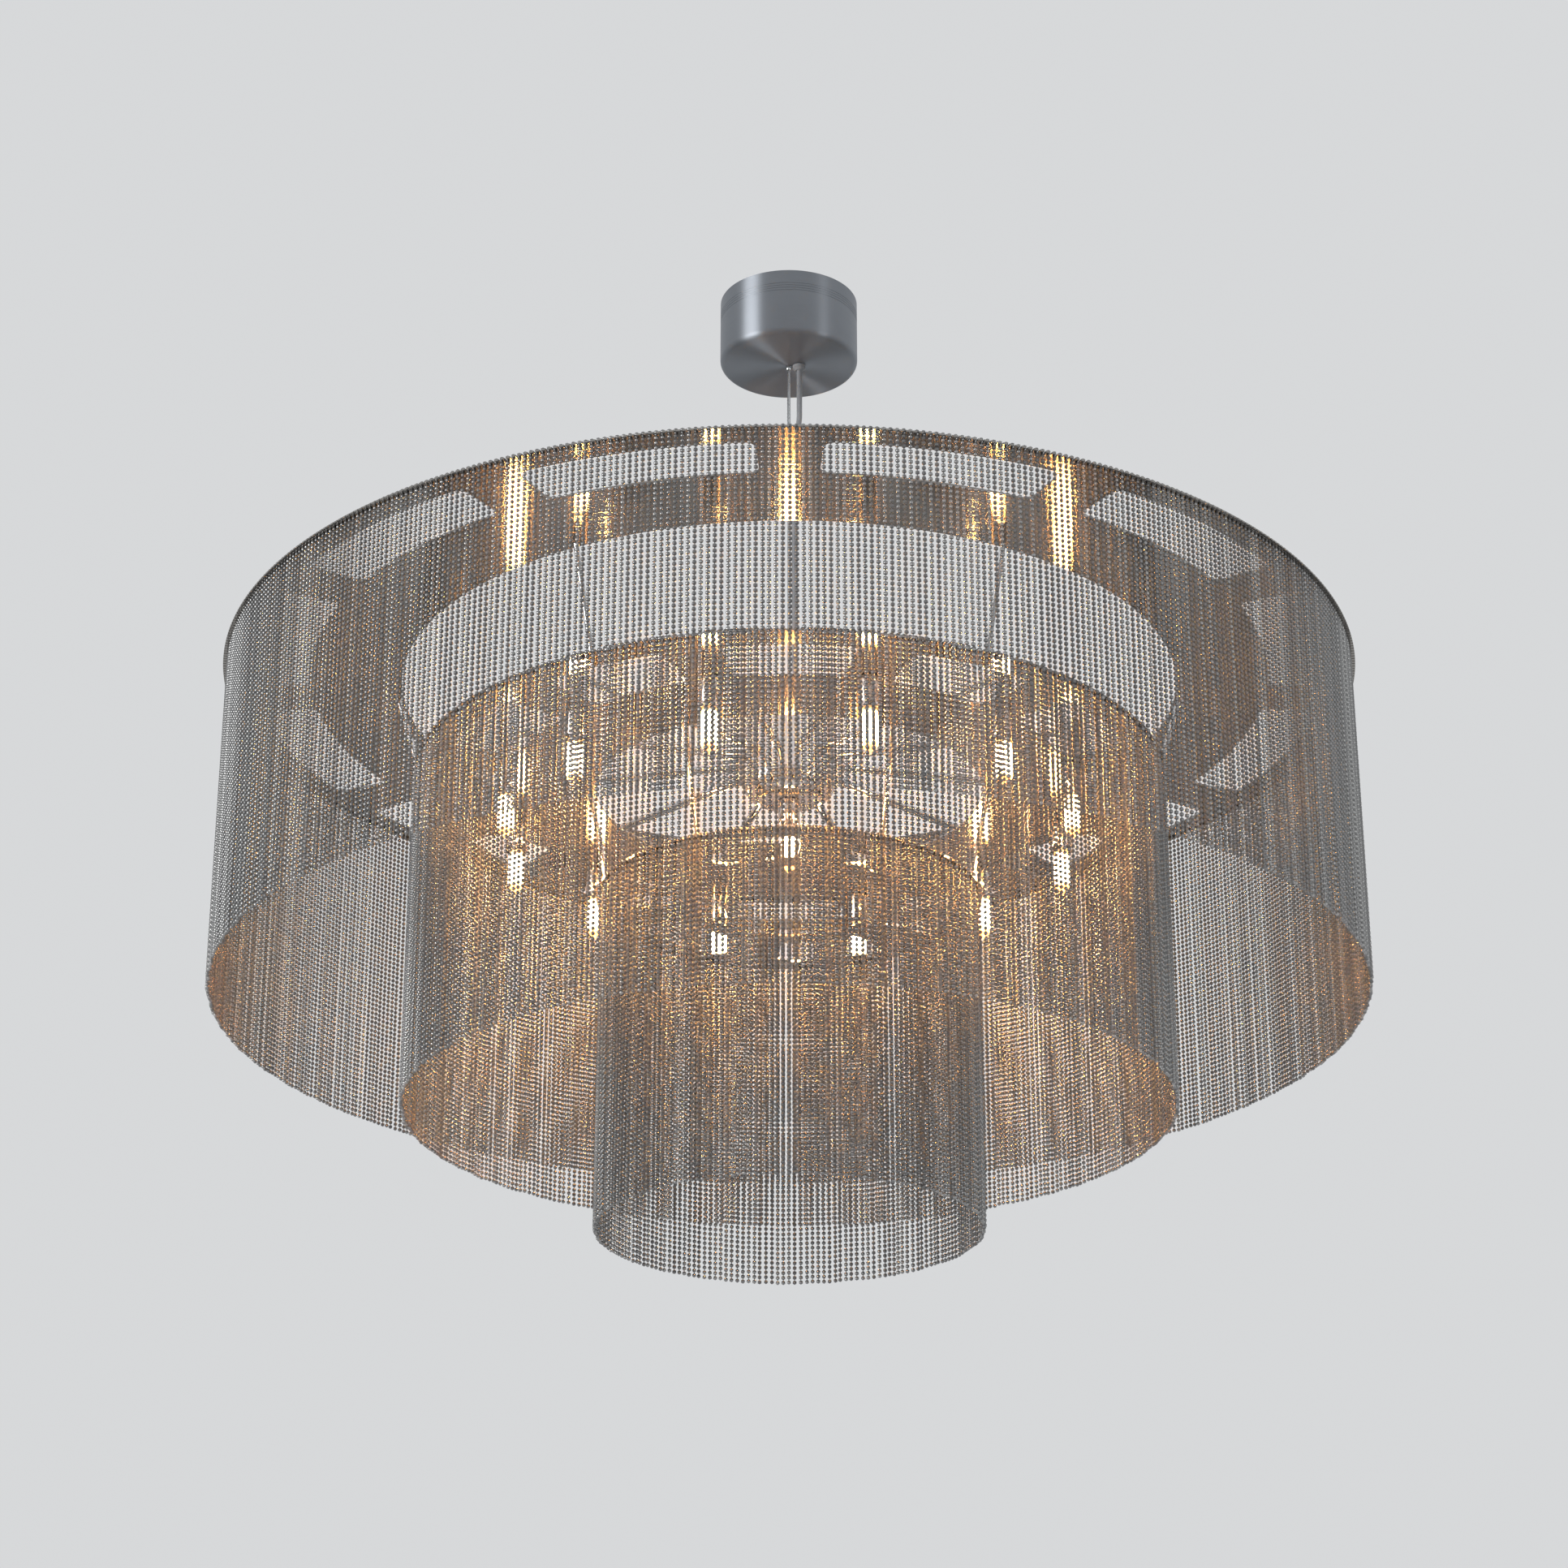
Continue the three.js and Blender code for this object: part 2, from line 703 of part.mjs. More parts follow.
// A steel wire rope with a ball in the bracket's yoke and a ferrule under the hub's lid
function buildRope() {
  const ballHeight = bracketThickness - bracketDepth + gap + ropeEndRadius;
  const ferruleTop = -hubTopDrop;
  const rope = turned([
    [0, ferruleTop - ferruleLength],
    [ropeEndRadius, ferruleTop - ferruleLength],
    [ropeEndRadius, ferruleTop],
    [ropeRadius, ferruleTop],
    [ropeRadius, ballHeight - ropeEndRadius],
    ...roundPoints(0, ballHeight, ropeEndRadius, -45, 45, 2),
    [0, ballHeight + ropeEndRadius],
  ], smallSides);
  addPiece('suspension_rope', rope, polishedSteel);
}

// The flex hangs from the cord grip's lower face and runs down along the rope to the hub.
function buildFlex() {
  const top = -canopyHeight - gripHeight - 2 * gap;
  const bottom = -hubTopDrop + 2 * gap + lidThickness + bossHeight;
  const bendTop = -canopyHeight - flexStraight;
  const route = new THREE.CatmullRomCurve3([
    new THREE.Vector3(flexOffset, 0, top),
    new THREE.Vector3(flexOffset, 0, (top + bendTop) / 2),
    new THREE.Vector3(flexOffset, 0, bendTop),
    new THREE.Vector3(flexNearOffset, 0, bendTop - flexBend),
    new THREE.Vector3(flexNearOffset, 0, (bendTop + bottom - flexTail) / 2),
    new THREE.Vector3(flexNearOffset, 0, bottom + flexTail + flexBend),
    new THREE.Vector3(flexOffset, 0, bottom + flexTail),
    new THREE.Vector3(flexOffset, 0, bottom),
  ], false, 'centripetal');
  const section = new THREE.Shape(roundHole(new THREE.Vector2(), flexRadius, smallSides).getPoints());
  const flex = new THREE.ExtrudeGeometry(section, {
    steps: flexSteps,
    extrudePath: route,
    bevelEnabled: false,
  });
  addPiece('power_flex', flex, greyFlex);
}

buildBracket();
buildCanopy();
buildRope();
buildFlex();
buildHubLid();
buildSpider();
buildOuterPlate();
buildMiddlePlate();
buildInnerPlate();
buildPosts();
buildLamps();
buildCurtain('outer', outerRadius, outerDrop, outerStrands, outerSectors);
buildCurtain('middle', middleRadius, middleDrop, middleStrands, middleSectors);
buildCurtain('inner', innerRadius, innerDrop, innerStrands, innerSectors);

export default light;
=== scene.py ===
import math

import bmesh
import bpy
import numpy as np
from mathutils import Matrix, Vector


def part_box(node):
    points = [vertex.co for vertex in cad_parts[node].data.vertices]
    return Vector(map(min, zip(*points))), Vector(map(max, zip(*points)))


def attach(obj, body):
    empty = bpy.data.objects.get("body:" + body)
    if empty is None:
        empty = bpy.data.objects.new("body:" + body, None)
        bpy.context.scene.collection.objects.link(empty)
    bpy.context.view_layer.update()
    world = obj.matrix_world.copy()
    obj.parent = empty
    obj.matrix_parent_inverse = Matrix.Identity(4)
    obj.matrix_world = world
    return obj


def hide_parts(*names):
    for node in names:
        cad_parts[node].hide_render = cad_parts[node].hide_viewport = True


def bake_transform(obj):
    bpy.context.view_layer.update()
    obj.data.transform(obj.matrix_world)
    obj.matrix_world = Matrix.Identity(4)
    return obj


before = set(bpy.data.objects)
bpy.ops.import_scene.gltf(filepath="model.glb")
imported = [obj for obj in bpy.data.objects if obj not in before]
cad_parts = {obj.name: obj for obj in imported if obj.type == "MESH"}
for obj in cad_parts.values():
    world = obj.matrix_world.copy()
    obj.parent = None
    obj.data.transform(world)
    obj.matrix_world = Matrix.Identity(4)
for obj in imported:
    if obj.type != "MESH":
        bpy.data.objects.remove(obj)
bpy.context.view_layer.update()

# The studio: a pale floor far below the light, a pale surround that the metal mirrors, a soft key
# lamp from the viewer's left and a weaker one from the right.
scene = bpy.context.scene
scene.view_settings.view_transform = "Standard"
SURROUND = (0.68, 0.69, 0.70, 1.0)
AMBIENT = 0.55
FLOOR_SHARE = 0.6
FLOOR_HEIGHT = -5.0
FLOOR_SIZE = 400.0
LIGHT_MIDDLE = (0.0, 0.0, -0.6)


class Wire:
    """An output of a node, whose other outputs go by name. Sums and products add Math nodes."""

    def __init__(self, tree, socket):
        self.tree = tree
        self.socket = socket

    def __getitem__(self, name):
        return Wire(self.tree, self.socket.node.outputs[name])

    def __add__(self, other):
        return self.tree.maths("ADD", self, other)

    def __radd__(self, other):
        return self.tree.maths("ADD", other, self)

    def __sub__(self, other):
        return self.tree.maths("SUBTRACT", self, other)

    def __rsub__(self, other):
        return self.tree.maths("SUBTRACT", other, self)

    def __mul__(self, other):
        return self.tree.maths("MULTIPLY", self, other)

    def __rmul__(self, other):
        return self.tree.maths("MULTIPLY", other, self)

    def __truediv__(self, other):
        return self.tree.maths("DIVIDE", self, other)

    def __rtruediv__(self, other):
        return self.tree.maths("DIVIDE", other, self)

    def __lt__(self, other):
        return self.tree.maths("LESS_THAN", self, other)

    def __mod__(self, other):
        return self.tree.maths("MODULO", self, other)


class Tree:
    """A node tree of a material, of the world or of Geometry Nodes."""

    def __init__(self, nodes):
        self.nodes = nodes

    def add(self, kind, values=None, output=0, **settings):
        node = self.nodes.nodes.new(kind)
        for name, value in settings.items():
            setattr(node, name, value)
        for socket, value in (values or {}).items():
            self.feed(node.inputs[socket], value)
        return Wire(self, node.outputs[output]) if node.outputs else None

    def shape(self, kind, values=None, **settings):
        return self.add("GeometryNode" + kind, values, **settings)

    def maths(self, operation, first, second=0.0):
        return self.add("ShaderNodeMath", {0: first, 1: second}, operation=operation)

    def vector(self, x=0.0, y=0.0, z=0.0):
        return self.add("ShaderNodeCombineXYZ", {"X": x, "Y": y, "Z": z})

    def vector_maths(self, operation, first, second=(0.0, 0.0, 0.0), output=0):
        values = {0: first, 1: second}
        return self.add("ShaderNodeVectorMath", values, output, operation=operation)

    def feed(self, socket, value):
        for one in value if isinstance(value, list) else [value]:
            if isinstance(one, Wire):
                self.nodes.links.new(one.socket, socket)
            else:
                socket.default_value = one


def new_object(name, data):
    made = bpy.data.objects.new(name, data)
    scene.collection.objects.link(made)
    return made


def seen_rays(tree):
    """1 for the rays of the picture and of what metal and glass show, and 0 for those of light."""
    ray = tree.add("ShaderNodeLightPath")
    seen = tree.maths("MAXIMUM", ray["Is Camera Ray"], ray["Is Glossy Ray"])
    return tree.maths("MAXIMUM", seen, ray["Is Transmission Ray"])


def build_surround():
    world = bpy.data.worlds.new("pale surround")
    world.use_nodes = True
    tree = Tree(world.node_tree)
    background = world.node_tree.nodes["Background"]
    tree.feed(background.inputs["Color"], SURROUND)
    tree.feed(background.inputs["Strength"], AMBIENT + (1.0 - AMBIENT) * seen_rays(tree))
    scene.world = world


def build_floor():
    mesh = bpy.data.meshes.new("studio_floor")
    half = FLOOR_SIZE / 2
    corners = [(x, y, FLOOR_HEIGHT) for x, y in
               ((-half, -half), (half, -half), (half, half), (-half, half))]
    mesh.from_pydata(corners, [], [(0, 1, 2, 3)])
    paint = bpy.data.materials.new("studio paint")
    paint.use_nodes = True
    shader = paint.node_tree.nodes["Principled BSDF"]
    shader.inputs["Base Color"].default_value = SURROUND
    shader.inputs["Roughness"].default_value = 0.9
    tree = Tree(paint.node_tree)
    even = tree.add("ShaderNodeEmission", {"Color": SURROUND})
    mixed = tree.add("ShaderNodeMixShader", {
        0: FLOOR_SHARE * seen_rays(tree), 1: Wire(tree, shader.outputs["BSDF"]), 2: even})
    tree.feed(paint.node_tree.nodes["Material Output"].inputs["Surface"], mixed)
    mesh.materials.append(paint)
    new_object("studio_floor", mesh)


def add_studio_lamp(name, place, size, power):
    """A soft round lamp that faces the middle of the pendant light."""
    data = bpy.data.lights.new(name, "AREA")
    data.shape = "DISK"
    data.size = size
    data.energy = power
    lamp = new_object(name, data)
    lamp.location = place
    lamp.rotation_euler = (Vector(LIGHT_MIDDLE) - Vector(place)).to_track_quat("-Z", "Y").to_euler()


build_surround()
build_floor()
add_studio_lamp("key_lamp", place=(-3.7, -2.0, -0.9), size=2.2, power=110.0)
add_studio_lamp("fill_lamp", place=(3.4, -2.2, -1.4), size=1.2, power=12.0)

# The camera stands 3 m in front and 1.8 m below the ceiling, and looks up by 23 degrees.
photographer = bpy.data.cameras.new("photographer")
photographer.sensor_width = 36.0
photographer.lens = 84.2
photographer.shift_y = 0.0093
camera = new_object("photographer", photographer)
camera.location = (-0.0045, -3.004, -1.784)
camera.rotation_euler = (math.radians(113.05), 0.0, 0.0)
scene.camera = camera


# Ceiling bracket: a zinc-plated strap, pressed to shape, with a slot for each of its two screws and
# a yoke below it that the rope's ball sits in. The plating is a little cloudy.
def finish(name, fixed, varied=None):
    """A material with fixed shader values, and others that vary over the surface."""
    material = bpy.data.materials.new(name)
    material.use_nodes = True
    shader = material.node_tree.nodes["Principled BSDF"]
    tree = Tree(material.node_tree)
    for socket, value in fixed.items():
        shader.inputs[socket].default_value = value
    if varied:
        place = tree.add("ShaderNodeTexCoord", output="Object")
        for socket, value in varied(tree, place).items():
            tree.feed(shader.inputs[socket], value)
    return material


def grain(tree, place, scale, drawn=(1.0, 1.0, 1.0), detail=3.0):
    """Noise from 0 to 1. Its grains are long on the axes where drawn is small."""
    spot = tree.add("ShaderNodeMapping", {"Vector": place, "Scale": drawn})
    return tree.add("ShaderNodeTexNoise", {"Vector": spot, "Scale": scale, "Detail": detail})


def tint(tree, share, first, second):
    """A colour between two others."""
    return tree.add("ShaderNodeMix", {0: share, 6: first, 7: second}, 2, data_type="RGBA")


def relief(tree, height, depth, strength=1.0):
    """A normal for a surface whose bumps are that deep, in metres."""
    return tree.add("ShaderNodeBump", {"Height": height, "Distance": depth, "Strength": strength})


def zinc_plating(tree, place):
    cloud = grain(tree, place, scale=90.0)
    speck = grain(tree, place, scale=900.0)
    return {
        "Base Color": tint(tree, cloud, (0.42, 0.44, 0.47, 1.0), (0.62, 0.63, 0.63, 1.0)),
        "Roughness": 0.32 + 0.22 * cloud,
        "Normal": relief(tree, speck, depth=0.00004),
    }


def add_piece(name, mesh, material, body, slot, *replaced):
    """Adds a mesh to the light, on the body it moves with. With None it keeps its materials."""
    piece = new_object(name, mesh)
    if material:
        mesh.materials.clear()
        mesh.materials.append(material)
    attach(piece, body)
    if replaced:
        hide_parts(*replaced)
    return piece


def soften(piece, width):
    """Rounds a piece's sharp edges."""
    bevel = piece.modifiers.new("rounded edges", "BEVEL")
    bevel.width = width
    bevel.segments = 2
    bevel.limit_method = "ANGLE"
    bevel.angle_limit = math.radians(35)
    bevel.harden_normals = True


def finish_mesh(shape, name, smooth=True):
    """Turns a bmesh with closed walls into a mesh whose faces point outwards."""
    bmesh.ops.recalc_face_normals(shape, faces=shape.faces)
    mesh = bpy.data.meshes.new(name)
    shape.to_mesh(mesh)
    shape.free()
    if smooth:
        mesh.shade_smooth()
    else:
        mesh.shade_flat()
    return mesh


def copied_node(node):
    """A merged copy of a CAD node's mesh, with its flat faces whole."""
    shape = bmesh.new()
    shape.from_mesh(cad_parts[node].data)
    bmesh.ops.remove_doubles(shape, verts=shape.verts, dist=1e-6)
    bmesh.ops.dissolve_limit(shape, angle_limit=math.radians(1), verts=shape.verts,
                             edges=shape.edges)
    return finish_mesh(shape, node)


zinc = finish("zinc plating", {"Metallic": 1.0}, zinc_plating)
soften(add_piece("bracket_strap", copied_node("ceiling_bracket"), zinc, "ceiling", "zinc",
                 "ceiling_bracket"), width=0.0006)


# Terminal block: a moulded white block under the yoke, with three wire clamps, each with a funnel
# at the bottom that its bright screw is reached through.
def turned(name, profile, sides, place=(0.0, 0.0, 0.0), ring=False):
    """A mesh turned on Z from (radius, height) points. A ring's profile closes on itself."""
    shape = bmesh.new()
    rows = []
    for radius, height in profile:
        count = sides if radius > 0 else 1
        rows.append([shape.verts.new((
            place[0] + radius * math.cos(math.tau * i / sides),
            place[1] + radius * math.sin(math.tau * i / sides),
            place[2] + height,
        )) for i in range(count)])
    for low, high in zip(rows, rows[1:] + rows[:1] if ring else rows[1:]):
        for i in range(sides):
            corners = [low[i % len(low)], low[(i + 1) % len(low)],
                       high[(i + 1) % len(high)], high[i % len(high)]]
            shape.faces.new(list(dict.fromkeys(corners)))
    return finish_mesh(shape, name)


def block(shape, low, high):
    """Adds a box between two corners to a bmesh."""
    size = Vector(high) - Vector(low)
    middle = (Vector(high) + Vector(low)) / 2
    bmesh.ops.create_cube(shape, size=1.0, matrix=Matrix.Translation(middle)
                          @ Matrix.Diagonal((*size, 1.0)))


def joined(meshes, name):
    """One mesh that holds several."""
    shape = bmesh.new()
    for mesh in meshes:
        shape.from_mesh(mesh)
        bpy.data.meshes.remove(mesh)
    mesh = bpy.data.meshes.new(name)
    shape.to_mesh(mesh)
    shape.free()
    return mesh


TERMINAL_POLES = 3
FUNNEL_RADIUS = 0.0022
FUNNEL_WALL = 0.0006
FUNNEL_HEIGHT = 0.003
SCREW_RADIUS = 0.0016
SCREW_HEIGHT = 0.0012
SCREW_CHAMFER = 0.0006
SCREW_FACE_SHARE = 0.7
CLAMP_SEAT = 0.001


def moulded_plastic(tree, place):
    haze = grain(tree, place, scale=1500.0)
    return {
        "Roughness": 0.5 + 0.12 * haze,
        "Normal": relief(tree, haze, depth=0.00002),
    }


def build_terminal():
    low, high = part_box("terminal_block")
    body = bmesh.new()
    floor = low.z + FUNNEL_HEIGHT
    block(body, (low.x, low.y, floor), high)
    funnels = []
    screws = []
    pitch = (high.x - low.x) / TERMINAL_POLES
    for i in range(TERMINAL_POLES):
        place = (low.x + pitch * (i + 0.5), (low.y + high.y) / 2, floor)
        wall = FUNNEL_RADIUS + FUNNEL_WALL
        funnels.append(turned("funnel", [
            (FUNNEL_RADIUS, -FUNNEL_HEIGHT), (wall, -FUNNEL_HEIGHT), (wall, CLAMP_SEAT),
            (FUNNEL_RADIUS, CLAMP_SEAT)], sides=20, place=place, ring=True))
        screws.append(turned("screw", [
            (0.0, -SCREW_HEIGHT), (SCREW_RADIUS * SCREW_FACE_SHARE, -SCREW_HEIGHT),
            (SCREW_RADIUS, SCREW_CHAMFER - SCREW_HEIGHT), (SCREW_RADIUS, CLAMP_SEAT),
            (0.0, CLAMP_SEAT)], sides=16, place=place))
    mesh = joined([finish_mesh(body, "case", smooth=False), *funnels], "terminal_case")
    plastic = finish("white moulding", {"Base Color": (0.78, 0.77, 0.72, 1.0)}, moulded_plastic)
    soften(add_piece("terminal_case", mesh, plastic, "ceiling", "terminal", "terminal_block"),
           width=0.0003)
    add_piece("terminal_screws", joined(screws, "terminal_screws"), zinc, "ceiling", "zinc")


build_terminal()


# Canopy: a spun steel drum, polished, with its open side on the ceiling. Four fine grooves are
# turned round it, a quarter of the way down, and its lower edge is rounded.
CANOPY_WALL = 0.0015
CANOPY_CORNER = 0.005
GROOVE_DEPTH = 0.0003
ROPE_RADIUS = 0.0016
ROPE_CLEARANCE = 0.0004
CANOPY_GROOVES = (0.0135, 0.0160, 0.0185, 0.0210)


def crisp(mesh, degrees=40):
    """Keeps the edges that turn by more than an angle sharp, and the rest smooth."""
    mesh.set_sharp_from_angle(angle=math.radians(degrees))
    return mesh


def arc(middle_radius, middle_height, radius, angles):
    """Points of a profile's round stretch. Angles are in degrees from straight down."""
    return [(middle_radius + radius * math.sin(math.radians(a)),
             middle_height - radius * math.cos(math.radians(a))) for a in angles]


def polish(low_roughness, high_roughness, drawn, scale):
    """How a polished surface's fine scratches change its gloss."""
    def varied(tree, place):
        lines = grain(tree, place, scale, drawn, detail=6.0)
        smear = grain(tree, place, scale=18.0)
        return {
            "Roughness": low_roughness + (high_roughness - low_roughness) * (lines * smear * 2.0),
            "Normal": relief(tree, lines, depth=0.000015, strength=0.6),
        }
    return varied


def build_canopy():
    low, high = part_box("canopy_cover")
    radius = high.x
    height = high.z - low.z
    corner = arc(radius - CANOPY_CORNER, CANOPY_CORNER, CANOPY_CORNER, range(0, 91, 15))
    grooves = []
    for depth in reversed(CANOPY_GROOVES):
        foot = height - depth
        grooves += [(radius, foot - 2 * GROOVE_DEPTH), (radius - GROOVE_DEPTH, foot - GROOVE_DEPTH),
                    (radius - GROOVE_DEPTH, foot + GROOVE_DEPTH), (radius, foot + 2 * GROOVE_DEPTH)]
    inside = radius - CANOPY_WALL
    hole = ROPE_RADIUS + ROPE_CLEARANCE
    profile = [(hole, 0.0), *corner, *grooves, (radius, height), (inside, height),
               (inside, CANOPY_CORNER), (inside - CANOPY_CORNER / 2, CANOPY_WALL),
               (hole, CANOPY_WALL)]
    mesh = crisp(turned("canopy_drum", profile, sides=96, place=(0.0, 0.0, low.z), ring=True))
    # The base colour is darker than polished steel's own: painted shade, for the dark surroundings
    # that the drum mirrors.
    steel = finish("canopy steel darkened with painted shade", {
        "Base Color": (0.29, 0.31, 0.34, 1.0),
        "Metallic": 1.0,
        "Anisotropic": 0.95,
        "Anisotropic Rotation": 0.25,
    }, polish(0.38, 0.50, drawn=(0.05, 0.05, 1.0), scale=900.0))
    add_piece("canopy_drum", mesh, steel, "canopy", "polished", "canopy_cover")


build_canopy()


# Rope collar and cord grip: a turned collar round the rope, and a clear grey gland beside it that
# the flex comes out of. Both hang from the canopy's floor.
COLLAR_CHAMFER = 0.0008
COLLAR_FACE_SHARE = 0.8
FLEX_RADIUS = 0.0026
FIT = 0.0003
GLAND_SPIGOT = 0.004
GLAND_NOSE_SHARES = (0.62, 0.75)
GLAND_NOSE_HEIGHTS = (0.0012, 0.0022)


def build_collar_and_grip():
    low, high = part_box("rope_collar")
    radius = high.x
    hole = ROPE_RADIUS + ROPE_CLEARANCE
    collar = crisp(turned("rope_ferrule", [
        (hole, low.z), (radius * COLLAR_FACE_SHARE, low.z), (radius, low.z + COLLAR_CHAMFER),
        (radius, high.z), (hole, high.z)], sides=32, ring=True))
    bright = finish("bright turned steel", {
        "Base Color": (0.62, 0.63, 0.64, 1.0), "Metallic": 1.0,
    }, polish(0.06, 0.22, drawn=(0.1, 0.1, 1.0), scale=1200.0))
    add_piece("rope_ferrule", collar, bright, "canopy", "polished", "rope_collar")

    low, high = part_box("cord_grip")
    middle = (low + high) / 2
    radius = high.x - middle.x
    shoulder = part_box("canopy_cover")[0].z
    hole = FLEX_RADIUS + FIT
    face, waist = (radius * share for share in GLAND_NOSE_SHARES)
    step, shelf = (low.z + height for height in GLAND_NOSE_HEIGHTS)
    grip = crisp(turned("cord_gland", [
        (hole, low.z), (face, low.z), (waist, step), (radius, shelf), (radius, shoulder - FIT),
        (GLAND_SPIGOT, shoulder - FIT), (GLAND_SPIGOT, high.z), (hole, high.z),
    ], sides=32, place=(middle.x, middle.y, 0.0), ring=True))
    clear = finish("clear grey moulding", {
        "Base Color": (0.55, 0.56, 0.58, 1.0),
        "Transmission Weight": 0.5,
        "IOR": 1.46,
    }, moulded_plastic)
    add_piece("cord_gland", grip, clear, "canopy", "grip", "cord_grip")
    return bright


bright_steel = build_collar_and_grip()


# Suspension rope: six strands of steel wire laid round a core. A ball at its top sits in the
# bracket's yoke, and a ferrule at its foot bears under the hub's lid.
ROPE_STRANDS = 6
ROPE_LAY = 0.021
STEPS_PER_LAY = 14
FERRULE_LENGTH = 0.012
FERRULE_CHAMFER = 0.0006


INPUT_KINDS = {int: "NodeSocketInt", float: "NodeSocketFloat", type(None): "NodeSocketMaterial"}


def group(name, sockets):
    """An empty Geometry Nodes tree with named inputs. None stands for a material."""
    nodes = bpy.data.node_groups.new(name, "GeometryNodeTree")
    nodes.interface.new_socket("Geometry", in_out="OUTPUT", socket_type="NodeSocketGeometry")
    for label, value in sockets.items():
        kind = INPUT_KINDS[type(value)]
        socket = nodes.interface.new_socket(label, in_out="INPUT", socket_type=kind)
        if value is not None:
            socket.default_value = value
    tree = Tree(nodes)
    return tree, tree.add("NodeGroupInput")


def close_group(tree, geometry, material):
    """Ends a tree: plain geometry with its material."""
    real = tree.shape("RealizeInstances", {"Geometry": geometry})
    painted = tree.shape("SetMaterial", {"Geometry": real, "Material": material})
    tree.add("NodeGroupOutput", {"Geometry": painted})


def spread(tree, shape, count, place=(0.0, 0.0, 0.0), **more):
    """Instances of a shape on that many points."""
    spots = tree.shape("Points", {"Count": count, "Position": place})
    return tree.shape("InstanceOnPoints", {"Points": spots, "Instance": shape, **more})


def grown(name, tree, values):
    """The plain mesh that a Geometry Nodes tree makes with these inputs."""
    holder = new_object(name, bpy.data.meshes.new(name))
    maker = holder.modifiers.new(name, "NODES")
    maker.node_group = tree.nodes
    for item in tree.nodes.interface.items_tree:
        if item.in_out == "INPUT" and item.name in values:
            maker[item.identifier] = values[item.name]
    holder.update_tag()
    graph = bpy.context.evaluated_depsgraph_get()
    mesh = bpy.data.meshes.new_from_object(holder.evaluated_get(graph))
    holder.modifiers.remove(maker)
    bpy.data.objects.remove(holder)
    mesh.name = name
    return mesh


def laid_strands():
    tree, inputs = group("laid strands", {
        "Strands": ROPE_STRANDS, "Turns": 1.0, "Length": 1.0, "Steps a Turn": STEPS_PER_LAY,
        "Rope Radius": ROPE_RADIUS, "Foot": 0.0, "Steel": None})
    strand_radius = inputs["Rope Radius"] / 3.0
    lay_radius = inputs["Rope Radius"] - strand_radius
    helix = tree.shape("CurveSpiral", {
        "Resolution": inputs["Steps a Turn"], "Rotations": inputs["Turns"],
        "Start Radius": lay_radius, "End Radius": lay_radius, "Height": inputs["Length"]})
    section = tree.shape("CurvePrimitiveCircle", {"Resolution": 7, "Radius": strand_radius})
    strand = tree.shape("CurveToMesh", {
        "Curve": helix, "Profile Curve": section, "Fill Caps": True})
    number = tree.shape("InputIndex")
    swing = tree.vector(z=number * math.tau / inputs["Strands"])
    strands = spread(tree, strand, inputs["Strands"], tree.vector(z=inputs["Foot"]),
                     Rotation=swing)
    smooth = tree.shape("SetShadeSmooth", {"Geometry": strands})
    close_group(tree, smooth, inputs["Steel"])
    return tree


def build_rope():
    low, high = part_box("suspension_rope")
    end_radius = high.x
    ball = high.z - end_radius
    ferrule_top = low.z + FERRULE_LENGTH
    length = ball - ferrule_top
    wire_steel = finish("drawn wire", {
        "Base Color": (0.52, 0.53, 0.54, 1.0), "Metallic": 1.0,
    }, polish(0.18, 0.4, drawn=(1.0, 1.0, 0.1), scale=1500.0))
    mesh = grown("rope_strands", laid_strands(), {
        "Turns": length / ROPE_LAY, "Length": length, "Foot": ferrule_top, "Steel": wire_steel})
    add_piece("rope_strands", mesh, wire_steel, "fixture", "wire", "suspension_rope")
    core = ROPE_RADIUS / 2
    ends = crisp(turned("rope_ends", [
        (0.0, low.z), (end_radius - FERRULE_CHAMFER, low.z),
        (end_radius, low.z + FERRULE_CHAMFER), (end_radius, ferrule_top), (core, ferrule_top),
        (core, ball - end_radius), *arc(0.0, ball, end_radius, range(30, 180, 15)),
        (0.0, high.z)], sides=28))
    add_piece("rope_ends", ends, bright_steel, "fixture", "polished")


build_rope()


# Power flex: a clear grey cable with twisted cores. It leaves the terminal block, goes through the
# cord grip, lies along the rope and ends in the boss on the hub's lid.
FLEX_NEAR = 0.0052
FLEX_STRAIGHT = 0.052
FLEX_BEND = 0.040
FLEX_TAIL = 0.016
FLEX_SIDES = 16
FLEX_STEPS = 120


def sheath(tree, place):
    cores = grain(tree, place, scale=160.0, drawn=(1.0, 1.0, 0.25))
    return {
        "Base Color": tint(tree, cores, (0.34, 0.35, 0.37, 1.0), (0.55, 0.56, 0.58, 1.0)),
        "Roughness": 0.22 + 0.12 * cores,
    }


def tube(name, points, radius, sides):
    """A closed tube along points that lie in the plane of X and Z."""
    shape = bmesh.new()
    rows = []
    for i, point in enumerate(points):
        ahead = points[min(i + 1, len(points) - 1)] - points[max(i - 1, 0)]
        across = ahead.normalized().cross(Vector((0.0, 1.0, 0.0)))
        rows.append([shape.verts.new(
            point + radius * (math.cos(math.tau * k / sides) * across
                              + math.sin(math.tau * k / sides) * Vector((0.0, 1.0, 0.0))))
                     for k in range(sides)])
    for low, high in zip(rows, rows[1:]):
        for k in range(sides):
            shape.faces.new((low[k], low[(k + 1) % sides], high[(k + 1) % sides], high[k]))
    shape.faces.new(rows[0])
    shape.faces.new(list(reversed(rows[-1])))
    return crisp(finish_mesh(shape, name))


